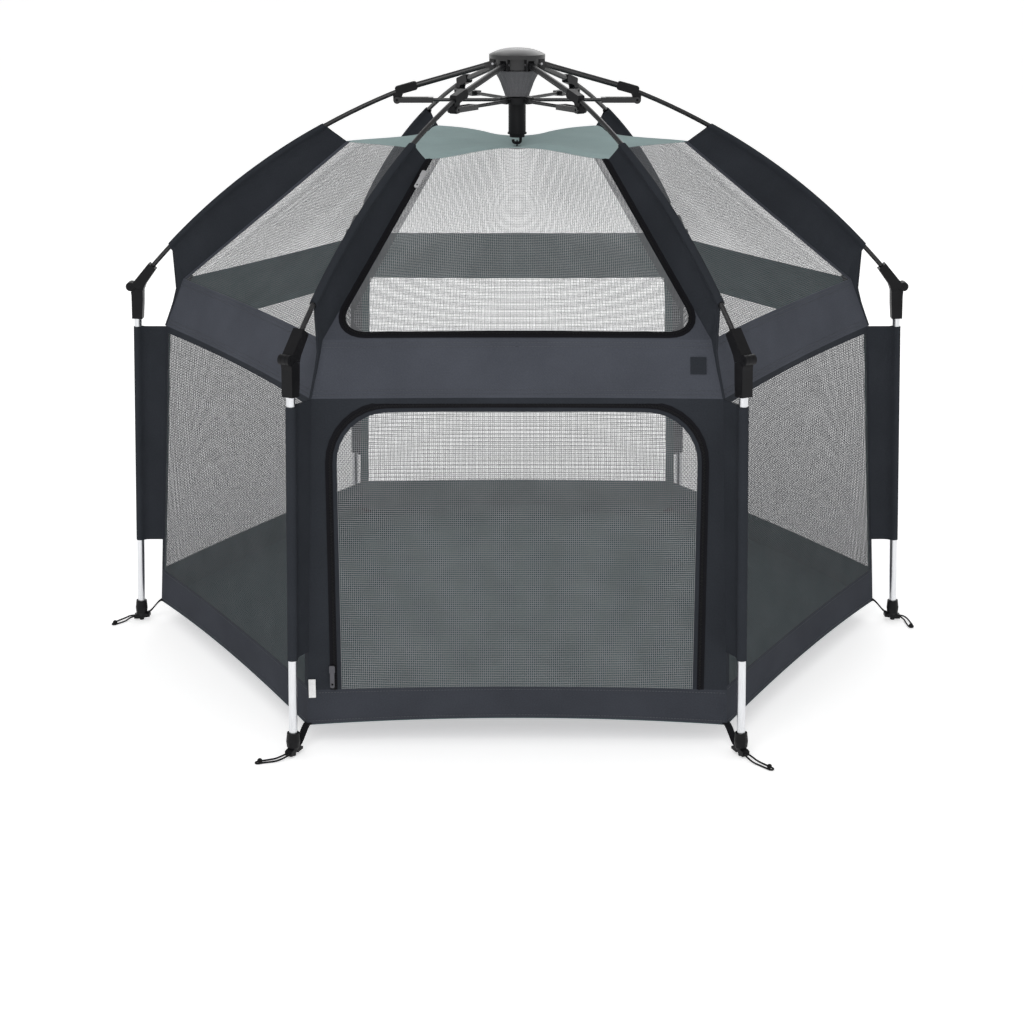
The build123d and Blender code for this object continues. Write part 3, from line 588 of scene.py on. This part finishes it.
def hang(piece, face, side, zone, *materials):
    """Materials and body of a piece on half a face."""
    group, corner = GROUPS[zone], corner_of(face, side)
    painted(piece, *materials)
    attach(piece, f"{group}_group_{corner}")
    anchor = face_point(face, side, zone)
    line = (face_point(face, side, zone + 1) - anchor).normalized()
    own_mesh(piece)


def label_of(face, side):
    """Short name for a half panel."""
    return f"{int(face)}_{'b' if side > 0 else 'a'}"


def outward_of(face):
    """Direction out of a face and a little up, which tells a cloth's outside."""
    return heading(face)[0] + Vector((0.0, 0.0, 0.3))


def make_half(kind, face, side, zone, grids, *materials):
    """One half panel of cloth, hung from its corner, with the size of its flat cut worked out."""
    piece = shell(f"{kind}_{label_of(face, side)}", grids, CLOTH, outward_of(face))
    hang(piece, face, side, zone, *materials)
    declare(piece)


# ---- walls, belt and windows

HEM = 0.063
SEAM_WIDTH = 0.011
DOOR_HALF, DOOR_LOW, DOOR_HIGH, DOOR_CORNER = 0.285, 0.057, 0.508, 0.088
WINDOW_SIDE, WINDOW_FOOT, WINDOW_CORNER = 0.009, 0.010, 0.052
WINDOW_BAND = 0.015
TOP_BINDING = 0.012
ARC_STEPS = 8


def door_share(level):
    """Half width of the door at a level, as a share of the half face."""
    height = level * zone_length(0)
    rise = max(0.0, height - (DOOR_HIGH - DOOR_CORNER))
    width = DOOR_HALF - DOOR_CORNER + math.sqrt(max(0.0, DOOR_CORNER ** 2 - rise ** 2))
    return width / (profile(level)[0] / 2)


def door_levels():
    """Levels up the door, closer together round its top corners."""
    bend = DOOR_HIGH - DOOR_CORNER
    rises = [bend + DOOR_CORNER * math.sin(math.pi / 2 * i / ARC_STEPS) for i in range(1, ARC_STEPS + 1)]
    return spread(level_of(0, DOOR_LOW), level_of(0, bend), PANEL_ROWS) + [level_of(0, r) for r in rises]


def window_share(level):
    """Half width of the front window at a level, as a share of the half face."""
    height = (level - 2) * zone_length(2)
    drop = max(0.0, WINDOW_FOOT + WINDOW_CORNER - height)
    rounding = WINDOW_CORNER - math.sqrt(max(0.0, WINDOW_CORNER ** 2 - drop ** 2))
    return 1 - (WINDOW_SIDE + rounding) / (profile(level)[0] / 2)


def band_share(level):
    """Inner edge of the doubled net along the front window's sides."""
    return window_share(level) - WINDOW_BAND / (profile(level)[0] / 2)


def window_levels():
    """Levels up the front window, closer together round its bottom corners."""
    rises = [WINDOW_FOOT + WINDOW_CORNER * (1 - math.cos(math.pi / 2 * i / ARC_STEPS))
             for i in range(ARC_STEPS + 1)]
    return [level_of(2, r) for r in rises[:-1]] + spread(level_of(2, rises[-1]), 3.0, 16)


def make_hem(face, side):
    """Canvas strip round the foot of a wall."""
    top = DOOR_LOW if face == FRONT else HEM
    grid = face_grid(face, side, spread(0.0, level_of(0, top), 5), at(1.0), at(0.0))
    make_half("hem", face, side, 0, [grid], "hem_canvas", "lining")


def make_side_wall(face, side):
    """Net wall with narrow canvas bindings at its corner and top."""
    seam = inset(SEAM_WIDTH)
    rim = 1.0 - level_of(0, TOP_BINDING)
    levels = spread(level_of(0, HEM), rim, PANEL_ROWS)
    border = [
        face_grid(face, side, levels, at(1.0), seam, 2),
        face_grid(face, side, [rim, 1.0], at(1.0), seam, 2),
        face_grid(face, side, [rim, 1.0], seam, at(0.0)),
    ]
    make_half("wall_binding", face, side, 0, border, "dark_canvas", "lining")
    # The side walls' net carries painted shade
    make_half("wall_net", face, side, 0, [face_grid(face, side, levels, seam, at(0.0))], "side_mesh")


def make_front_wall(side):
    """Canvas round the door opening."""
    levels = door_levels()
    top = levels[-1]
    border = [
        face_grid(FRONT, side, levels, at(1.0), door_share, 5),
        face_grid(FRONT, side, [top, 1.0], at(1.0), at(door_share(top)), 5),
        face_grid(FRONT, side, [top, 1.0], at(door_share(top)), at(0.0), 12),
    ]
    make_half("front_wall", FRONT, side, 0, border, "dark_canvas", "lining")


def make_belt(face, side):
    """Deep canvas belt, lined inside, between wall and window."""
    grid = face_grid(face, side, spread(1.0, 2.0, 7), at(1.0), at(0.0), 20)
    make_half("belt", face, side, 1, [grid], "canvas", "lining")


def make_window(face, side):
    """Net window; the front one has rounded lower corners and doubled net along its edge."""
    if face == FRONT:
        levels, edge = window_levels(), band_share
        foot = levels[0]
        border = [
            face_grid(face, side, [2.0, foot], at(1.0), at(window_share(foot)), 4),
            face_grid(face, side, [2.0, foot], at(window_share(foot)), at(0.0)),
            face_grid(face, side, levels, at(1.0), window_share, 3),
        ]
        band = face_grid(face, side, levels, window_share, edge, 3)
        make_half("window_band", face, side, 2, [band], "double_mesh")
    else:
        levels, edge = spread(2.0, 3.0, PANEL_ROWS), inset(SEAM_WIDTH)
        border = [face_grid(face, side, levels, at(1.0), edge, 3)]
    make_half("window_border", face, side, 2, border, "canvas", "lining")
    net = face_grid(face, side, levels, edge, at(0.0))
    # Front and back windows take the net with painted light, side windows the net with painted shade
    make_half("window_net", face, side, 2, [net], "window_mesh" if face % 180 == 90 else "upper_mesh")


# ---- floor and roof, in slivers that fan out from each corner

FLOOR_SLIVERS, ROOF_SLIVERS = 10, 6
FLOOR_SAG, FLOOR_WAVE = 0.004, 0.0011
ROOF_RIDGE, ROOF_CREASE = 0.006, 0.0012
HOOK_PULL, HOOK_SPREAD = 0.0105, 0.055  # how far the hook draws the roof down, and how wide


def polar(place):
    """Share along the nearest face, and distance out from the middle towards that face."""
    angle = math.degrees(math.atan2(place.y, place.x)) % 360
    face = min(FACES, key=lambda f: abs((angle - f + 180) % 360 - 180))
    turn = math.radians((angle - face + 180) % 360 - 180)
    return math.tan(turn) / math.tan(math.radians(30.0)), math.hypot(place.x, place.y) * math.cos(turn)


def floor_height(place, turn):
    """Floor cloth: taut, a little lower in the middle, drawn up at the middle of each side."""
    share, reach = polar(place)
    part = min(1.0, reach / (FLOOR_CORNER[0] * APOTHEM))
    waves = FLOOR_WAVE * math.sin(place.x * 19 + 1.0) * math.sin(place.y * 23) * (1 - part ** 2)
    arch = HEM_ARCH * (1 - share * share) * part ** 5
    return FLOOR_CORNER[1] + arch - FLOOR_SAG * (1 - part ** 2) + waves


def roof_height(place, turn):
    """Roof cloth: ridges run to the corners, and the middle is drawn down to its hook."""
    away = math.hypot(place.x, place.y)
    inside = 1 - abs(2 * turn - 1)
    ridge = ROOF_RIDGE * inside ** 2 * math.sin(math.pi * min(1.0, away / ROOF_CORNER[0]))
    crease = ROOF_CREASE * math.sin(turn * 6 * math.pi) ** 2 * inside
    crease *= math.sin(math.pi * away / ROOF_CORNER[0])
    return ROOF_CORNER[1] + ridge + crease - HOOK_PULL * math.exp(-(away / HOOK_SPREAD) ** 2)


def no_bow(face, share):
    """The floor's edge runs straight between its corners."""
    return 0.0


def fan_point(corner, radius, edge, turn, reach):
    """Plan point of a corner's sixth: turn 0 to 1 across the fan, reach 0 to 1 away from the corner."""
    outward, along = directions(corner)
    tip = outward * radius
    side = -1 if turn < 0.5 else 1
    face = (60.0 * (corner - 1) + 30.0 * side) % 360
    normal = outward * APOTHEM + along * side * 0.5
    middle = normal * (radius * APOTHEM - edge(face, 0.0))
    far = middle.lerp(Vector(), 1 - abs(2 * turn - 1))
    bend = edge(face, 1 - reach) - edge(face, 0.0) * reach
    fade = max(0.0, 1 - min(turn, 1 - turn) * 4)
    return tip.lerp(far, reach) - normal * bend * fade


def make_slivers(kind, corner, radius, edge, height, count, group, materials):
    """One corner's sixth of the floor or the roof, in slivers."""
    for number in range(count):
        grid = []
        for turn in spread(number / count, (number + 1) / count, 3):
            row = []
            for reach in spread(0.0, 1.0, 22):
                place = fan_point(corner, radius, edge, turn, reach)
                row.append((Vector((place.x, place.y, height(place, turn))), (place.x, place.y)))
            grid.append(row)
        piece = shell(f"{kind}_{corner}_{number + 1}", [grid], CLOTH, Vector((0.0, 0.0, 1.0)))
        painted(piece, *materials)
        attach(piece, f"{group}_group_{corner}")
        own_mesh(piece)


for azimuth in FACES:
    for hand in (-1, 1):
        make_hem(azimuth, hand)
        make_belt(azimuth, hand)
        make_window(azimuth, hand)
        if azimuth == FRONT:
            make_front_wall(hand)
        else:
            make_side_wall(azimuth, hand)
for number in CORNERS:
    make_slivers("floor", number, FLOOR_CORNER[0], no_bow, floor_height, FLOOR_SLIVERS, "leg",
                 ("lining", "canvas"))
    make_slivers("roof", number, ROOF_CORNER[0], roof_edge, roof_height, ROOF_SLIVERS, "rib",
                 ("roof_fabric", "roof_fabric"))

# ---- sleeves on ribs and legs

SLEEVE_START, SLEEVE_END = 0.275, 0.895  # shares of the rod's length
SLEEVE_LOW, SLEEVE_HIGH = 0.157, 0.5555  # heights on the leg
ROD_SLEEVE_RADIUS, LEG_SLEEVE_RADIUS, TAIL_RADIUS = 0.0062, 0.0080, 0.0021
ROD_CREASES, LEG_CREASES = 0.0004, 0.0006
WEB_INNER = (0.584, 0.642)
WEB_GAP = 0.0011
LOOP_ANGLES = range(42, 319, 23)
TAIL_SPINE = [(0.6015, 0.6245), (0.6085, 0.600), (0.617, 0.577), (0.6245, 0.5575)]
TAIL_EDGE = [(0.572, 0.646), (0.580, 0.630), (0.592, 0.606), (0.604, 0.580), (0.612, 0.5575)]
SLEEVE_CLOTH = 0.0008


def unit(start, end):
    """Unit direction between two (radius, height) points."""
    length = math.dist(start, end)
    return (end[0] - start[0]) / length, (end[1] - start[1]) / length


def rod_point(fraction):
    """Point of the curved rod's axis at a share of its length."""
    chord = unit(ARM_END, ROD_END)
    half = math.asin(math.dist(ARM_END, ROD_END) / 2 / ROD_BEND)
    middle = ((ARM_END[0] + ROD_END[0]) / 2, (ARM_END[1] + ROD_END[1]) / 2)
    swing = (0.5 - fraction) * 2 * half
    rise = ROD_BEND * (math.cos(swing) - math.cos(half))
    run = -ROD_BEND * math.sin(swing)
    return middle[0] + chord[0] * run - chord[1] * rise, middle[1] + chord[1] * run + chord[0] * rise


def leg_point(height):
    """Point of the leg's axis at a height."""
    share = height / LEG_TOP[1]
    return FOOT_RADIUS + (LEG_TOP[0] - FOOT_RADIUS) * share, height


def web_point(share):
    """Inner edge of a rib sleeve, along the seam from the roof's corner to the belt."""
    radius = ROOF_CORNER[0] + (WEB_INNER[0] - ROOF_CORNER[0]) * share - 0.0015
    return radius, ROOF_CORNER[1] + (WEB_INNER[1] - ROOF_CORNER[1]) * share - 0.001


def run_lengths(path):
    """Distance travelled along a path at each of its points."""
    lengths = [0.0]
    for before, point in zip(path, path[1:]):
        lengths.append(lengths[-1] + math.dist(point, before))
    return lengths


def make_sleeve(name, corner, spine, edge, radius, creases=0.0):
    """Fabric sleeve: a loop round each spine point and a double web in to each edge point.
    The spine runs downward, which turns the cloth's outside outward."""
    rows = []
    travelled = [(a + b) / 2 for a, b in zip(run_lengths(spine), run_lengths(edge))]
    for number, (centre, inner) in enumerate(zip(spine, edge)):
        toward, reach = unit(centre, inner), math.dist(centre, inner)
        pucker = creases * math.sin(number * 1.9) + creases * 0.6 * math.sin(number * 0.83 + corner)
        web = [(reach, WEB_GAP, 0), (reach * 0.72, WEB_GAP, 1), (reach * 0.44, WEB_GAP, 1),
               (radius * 1.45, WEB_GAP + 0.0008, 0)]
        section = [(away, side + pucker * loose) for away, side, loose in web]
        section += [(radius * math.cos(math.radians(d)), radius * math.sin(math.radians(d)))
                    for d in LOOP_ANGLES]
        section += [(away, -side + pucker * loose) for away, side, loose in web[::-1]]
        rows.append([
            (at_corner(corner, centre[0] + toward[0] * away, centre[1] + toward[1] * away, side),
             (around, travelled[number]))
            for (away, side), around in zip(section, run_lengths(section))
        ])
    return shell(name, [rows], SLEEVE_CLOTH)


def make_sleeves(corner):
    """Rib sleeve with its tail over the belt, and leg sleeve, of one corner."""
    shares = spread(0.0, 1.0, 44)
    spine = [rod_point(SLEEVE_START + (SLEEVE_END - SLEEVE_START) * s) for s in shares]
    sleeve = make_sleeve(f"rib_sleeve_{corner}", corner, spine, [web_point(s) for s in shares],
                         ROD_SLEEVE_RADIUS, ROD_CREASES)
    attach(painted(sleeve, "dark_canvas"), f"rib_group_{corner}")
    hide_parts(f"canopy_{corner}")
    tail_spine = [rod_point(SLEEVE_END - 0.01)] + TAIL_SPINE
    tail = make_sleeve(f"rib_tail_{corner}", corner, tail_spine, TAIL_EDGE, TAIL_RADIUS)
    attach(painted(tail, "dark_canvas"), f"rib_group_{corner}")
    heights = spread(SLEEVE_HIGH, SLEEVE_LOW, 30)
    edge = []
    for height in heights:
        share = (height - FLOOR_CORNER[1]) / (WALL_TOP[1] - FLOOR_CORNER[1])
        edge.append((FLOOR_CORNER[0] + (WALL_TOP[0] - FLOOR_CORNER[0]) * share - 0.001, height))
    leg = make_sleeve(f"leg_sleeve_{corner}", corner, [leg_point(h) for h in heights], edge,
                      LEG_SLEEVE_RADIUS, LEG_CREASES)
    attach(painted(leg, "dark_canvas"), f"leg_group_{corner}")
    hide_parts(f"wall_{corner}")
    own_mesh(tail)
    for piece, holder in ((sleeve, "rib"), (tail, "rib"), (leg, "leg_tube")):
        declare(piece)


for number in CORNERS:
    make_sleeves(number)

# ---- door and zips

TAPE_INNER, TAPE_OUTER, TAPE_LIFT, TAPE_CLOTH = -0.0035, 0.0075, 0.0008, 0.0007
TEETH_LINE = 0.0005
TOOTH = {"pitch": 0.0021, "length": 0.0011, "width": 0.0030, "height": 0.0012, "out": 0.0006,
         "stagger": 0.0004}
DOOR_GAP, DOOR_RIM = 0.0016, 0.010


def slope_point(face, side, zone, across, height, out):
    """Point of a face from the distances across its middle line and up a zone's slope."""
    level = min(max(level_of(zone, height), 0.0), 3.0)
    return face_point(face, side * across / (profile(level)[0] / 2), level, out)


def outline(zone, share, levels, end_height):
    """(across, height) points of half an opening's edge, ending on the middle line."""
    points = [(share(level) * profile(level)[0] / 2, (level - zone) * zone_length(zone)) for level in levels]
    width = points[-1][0]
    return points + [(width * (1 - i / 12), end_height) for i in range(1, 13)]


def offset(points, distance):
    """The same path, moved to its outer side, which is the right of its direction when it climbs."""
    moved = []
    for i, (x, y) in enumerate(points):
        (x0, y0), (x1, y1) = points[max(0, i - 1)], points[min(len(points) - 1, i + 1)]
        length = math.hypot(x1 - x0, y1 - y0)
        moved.append((x + (y1 - y0) / length * distance, y - (x1 - x0) / length * distance))
    return moved


def tape(name, side, zone, path):
    """Zip tape along a path on the front."""
    rows, width = [], TAPE_OUTER - TAPE_INNER
    for share in spread(0.0, 1.0, 2):
        line = offset(path, TAPE_INNER + width * share)
        rows.append([(slope_point(FRONT, side, zone, x, y, TAPE_LIFT), (run, share * width))
                     for (x, y), run in zip(line, run_lengths(path))])
    return shell(name, [rows], TAPE_CLOTH, outward_of(FRONT))


def resample(points, pitch):
    """Evenly spaced points along a path, each with the path's direction there."""
    spaced, left = [], 0.0
    for (x0, y0), (x1, y1) in zip(points, points[1:]):
        length = math.hypot(x1 - x0, y1 - y0)
        if length < 1e-9:
            continue
        step = left
        while step < length:
            t = step / length
            spaced.append((x0 + (x1 - x0) * t, y0 + (y1 - y0) * t, (x1 - x0) / length, (y1 - y0) / length))
            step += pitch
        left = step - length
    return spaced


def blocks(name, face, side, zone, paths, pitch, length, width, height, out, stagger=0.0):
    """Rows of small blocks along paths on a face: zip teeth or stitches."""
    data = bmesh.new()
    for number, (x, y, dx, dy) in enumerate(spot for path in paths for spot in resample(path, pitch)):
        shift = stagger if number % 2 else -stagger
        corners = []
        for along, across in ((-1, -1), (1, -1), (1, 1), (-1, 1)):
            px = x + dy * shift + dx * along * length / 2 + dy * across * width / 2
            py = y - dx * shift + dy * along * length / 2 - dx * across * width / 2
            corners.append((px, py))
        low, high = ([data.verts.new(slope_point(face, side, zone, px, py, off)) for px, py in corners]
                     for off in (out, out + height))
        data.faces.new(low)
        data.faces.new(high)
        bridge(data, low, high)
    bmesh.ops.recalc_face_normals(data, faces=data.faces)
    return finished(name, data)


def make_zip(kind, side, zone, path):
    """Tape and teeth of half a zip on the front."""
    name = f"{kind}_{'right' if side > 0 else 'left'}"
    strip = tape(f"{name}_tape", side, zone, path)
    teeth = blocks(f"{name}_teeth", FRONT, side, zone, [offset(path, TEETH_LINE)], **TOOTH)
    hang(strip, FRONT, side, zone, "zip_black")
    hang(teeth, FRONT, side, zone, "black_plastic")


def make_door():
    """Net door with its canvas edge, which drops forward on the hem."""
    levels = door_levels()
    path = outline(0, door_share, levels, DOOR_HIGH)
    inner = offset(path, -DOOR_RIM)
    outer = offset(path, -DOOR_GAP)
    rims = []
    for side in (-1, 1):
        rows = [[(slope_point(FRONT, side, 0, max(x, 0.0), y, 0.0), (run * side, shift))
                 for (x, y), run in zip(line, run_lengths(path))]
                for line, shift in ((outer, 0.0), (inner, DOOR_RIM))]
        rims.append(rows[::side])
    rim = shell("door_edge", rims, CLOTH, outward_of(FRONT))
    net_rows = [[(slope_point(FRONT, 1, 0, across, y, 0.0), (across, y)) for across in spread(-x, x, 36)]
                for x, y in inner[:len(levels)]]
    net = shell("door_net", [net_rows], CLOTH, outward_of(FRONT))
    for piece, finishes in ((rim, ("dark_canvas", "lining")), (net, ("mesh",))):
        painted(piece, *finishes)
        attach(piece, "door_panel")
        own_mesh(piece)
        declare(piece)
    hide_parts("door")


for hand in (-1, 1):
    make_zip("door_zip", hand, 0, outline(0, door_share, door_levels(), DOOR_HIGH))
    make_zip("window_zip", hand, 2, outline(2, window_share, window_levels()[::-1], WINDOW_FOOT)[::-1])
make_door()

# ---- stitching, straps, boot and trim

STITCH = {"pitch": 0.0048, "length": 0.0032, "width": 0.0007, "height": 0.0004, "out": 0.0001}
STITCH_START = 0.985  # share of the half face, just clear of the corner
HEM_STITCHES = (0.0055, 0.005)  # up from the hem's foot, down from its top
BELT_STITCHES = (0.06, 0.13, 0.87, 0.94)  # shares of the belt's height
STRAP_WIDTH, STRAP_THICKNESS, STRAP_ROUND = 0.013, 0.0018, 0.0006
STRAP_PATH = [(0.6330, 0.0395), (0.6480, 0.0392), (0.6570, 0.0392), (0.6625, 0.0382), (0.6680, 0.0335),
              (0.6740, 0.0265), (0.6800, 0.0195), (0.6850, 0.0150), (0.6905, 0.0128)]
BOOT_RINGS = [(0.0402, 1.0008), (0.0358, 0.9945), (0.0312, 0.9875), (0.0274, 0.9800), (0.0244, 0.9710),
              (0.0217, 0.9630), (0.0205, 0.9578)]
BOOT_POINTS, PLEATS, PLEAT_DEPTH, BOOT_CLOTH = 144, 24, 0.0011, 0.0010
TAG_CLOTH = 0.0009


def make_stitches(face, side):
    """Rows of stitches along the hem and the belt of a half face, from its corner to its middle."""
    top = DOOR_LOW if face == FRONT else HEM
    hem = [height / zone_length(0) for height in (HEM_STITCHES[0], top - HEM_STITCHES[1])]
    for kind, zone, shares in (("hem", 0, hem), ("belt", 1, BELT_STITCHES)):
        paths = []
        for share in shares:
            start = profile(zone + share)[0] / 2 * STITCH_START
            paths.append([(start * (1 - i / 16), share * zone_length(zone)) for i in range(17)])
        piece = blocks(f"{kind}_stitches_{label_of(face, side)}", face, side, zone, paths, **STITCH)
        hang(piece, face, side, zone, "thread")


def make_strap(corner):
    """Webbing strap from the floor's corner to the foot's lug."""
    data = bmesh.new()
    half, thick, edge = STRAP_WIDTH / 2, STRAP_THICKNESS, STRAP_WIDTH / 2 - STRAP_ROUND
    section = [(-half, 0.0), (-edge, thick / 2), (-half * 0.3, thick * 0.56), (half * 0.3, thick * 0.56),
               (edge, thick / 2), (half, 0.0), (edge, -thick / 2), (-edge, -thick / 2)]
    rings = []
    for i, (radius, height) in enumerate(STRAP_PATH):
        run = unit(STRAP_PATH[max(0, i - 1)], STRAP_PATH[min(len(STRAP_PATH) - 1, i + 1)])
        rings.append([data.verts.new(at_corner(corner, radius - run[1] * off, height + run[0] * off, side))
                      for side, off in section])
    for low, high in zip(rings, rings[1:]):
        bridge(data, low, high)
    data.faces.new(rings[0])
    data.faces.new(rings[-1])
    bmesh.ops.recalc_face_normals(data, faces=data.faces)
    strap = smooth(finished(f"foot_strap_{corner}", data))
    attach(painted(strap, "webbing"), f"leg_group_{corner}")


def make_boot():
    """Pleated fabric cone from the hub down to the runner."""
    rows = []
    for number, (radius, height) in enumerate(BOOT_RINGS):
        depth = PLEAT_DEPTH * math.sin(math.pi * number / (len(BOOT_RINGS) - 1))
        row = []
        for i in range(BOOT_POINTS + 1):
            angle = 2 * math.pi * (i % BOOT_POINTS) / BOOT_POINTS
            r = radius + depth * math.cos(PLEATS * angle)
            row.append((Vector((r * math.cos(angle), r * math.sin(angle), height)), (i * 0.001, height)))
        rows.append(row)
    boot = shell("boot_cone", [rows], BOOT_CLOTH, Vector((0.0, 0.0, -1.0)))
    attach(painted(boot, "boot_grey"), "crown")
    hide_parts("boot")
    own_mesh(boot)


def flat_tag(name, side, zone, across, height, width, tall, finish, out=0.0012):
    """Small flat patch sewn on the front."""
    rows = [[(slope_point(FRONT, side, zone, across + width * (i / 3 - 0.5), height + tall * (j / 3 - 0.5),
                          out), (width * i / 3, tall * j / 3)) for i in range(4)] for j in range(4)]
    hang(shell(name, [rows], TAG_CLOTH, outward_of(FRONT)), FRONT, side, zone, finish)


def make_hook_loop():
    """Webbing patch and loop by which the roof's middle hangs on the shaft's hook."""
    data = bmesh.new()
    place = Matrix.Translation((0.0, 0.0, 0.8755)) @ Matrix.Rotation(math.radians(90), 4, "Y")
    add_torus(data, place, 0.0062, 0.0014, 28)
    bmesh.ops.create_cone(data, cap_ends=True, segments=32, radius1=0.019, radius2=0.0165, depth=0.0022,
                          matrix=Matrix.Translation((0.0, 0.0, 0.8706)))
    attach(painted(smooth(finished("roof_loop", data)), "webbing"), "crown")


for azimuth in FACES:
    for hand in (-1, 1):
        make_stitches(azimuth, hand)
for number in CORNERS:
    make_strap(number)
make_boot()
make_hook_loop()
flat_tag("care_tag", -1, 0, 0.321, 0.060, 0.011, 0.030, "label_white", 0.0022)
flat_tag("belt_patch", 1, 1, 0.274, 0.050, 0.024, 0.026, "dark_canvas")

# ---- carried-over CAD nodes

NODE_FINISH = {
    "rib_fittings": "black_plastic", "rib": "rib_black", "strut": "rib_black", "leg_tube": "leg_aluminium",
    "leg_fittings": "black_plastic", "hub_ring": "hub_black", "hub_pins": "pin_steel",
    "hub_cap": "hub_black", "centre_shaft": "rib_black", "shaft_hook": "black_plastic",
    "runner": "black_plastic", "runner_pins": "pin_steel", "grip": "black_plastic",
    "door_slider": "zip_slider", "window_slider": "pull_grey",
}
for name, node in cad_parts.items():
    kind = name if name in NODE_FINISH else name.rsplit("_", 1)[0]
    if kind in NODE_FINISH:
        node.data.materials.clear()
        node.data.materials.append(MATERIALS[NODE_FINISH[kind]])

# ---- stage

FLOOR_GLOW = 0.47
FLOOR_HALF, FLOOR_DROP = 60.0, 0.0005
FLOOR_TONES = (0.86, 0.89)
SKY_RAMP = ((0.10, 1.0), (0.55, 0.55))  # brightness by the height of the direction looked in
LAMPS = (("key", (-0.6, -3.6, 3.2), 2.6, 60.0), ("back", (0.6, 3.2, 3.2), 3.0, 40.0))
LAMP_TARGET = (0.0, 0.0, 0.5)


def make_stage():
    """Plain pale floor and soft studio light, with a white surround at eye level."""
    shader = Shader("studio_floor", roughness=0.9, gloss=0.1)
    shader.colour(shader.noise(shader.place(False), 0.7), 0.2, 0.8, (1.0, 1.0, 1.0), *FLOOR_TONES)
    shader.main.inputs["Emission Color"].default_value = (1.0, 1.0, 1.0, 1.0)
    shader.main.inputs["Emission Strength"].default_value = FLOOR_GLOW
    mesh = bpy.data.meshes.new("studio_floor")
    rim = [(x * FLOOR_HALF, y * FLOOR_HALF, -FLOOR_DROP) for x, y in ((-1, -1), (1, -1), (1, 1), (-1, 1))]
    mesh.from_pydata(rim, [], [(0, 1, 2, 3)])
    mesh.materials.append(shader.material)
    link("studio_floor", mesh)
    world = bpy.data.worlds.new("studio")
    world.use_nodes = True
    nodes, links = world.node_tree.nodes, world.node_tree.links
    split = nodes.new("ShaderNodeSeparateXYZ")
    ramp = nodes.new("ShaderNodeValToRGB")
    for element, (position, level) in zip(ramp.color_ramp.elements, SKY_RAMP):
        element.position = position
        element.color = (level, level, level, 1.0)
    links.new(nodes.new("ShaderNodeTexCoord").outputs["Generated"], split.inputs[0])
    links.new(split.outputs["Z"], ramp.inputs["Fac"])
    links.new(ramp.outputs["Color"], nodes["Background"].inputs["Color"])
    bpy.context.scene.world = world
    for name, place, size, power in LAMPS:
        lamp = bpy.data.lights.new(name, "AREA")
        lamp.size, lamp.energy = size, power
        holder = link(name, lamp)
        holder.location = place
        holder.rotation_mode = "QUATERNION"
        holder.rotation_quaternion = (Vector(LAMP_TARGET) - Vector(place)).to_track_quat("-Z", "Y")
    bpy.context.scene.view_settings.view_transform = "Standard"


make_stage()
bpy.context.view_layer.update()
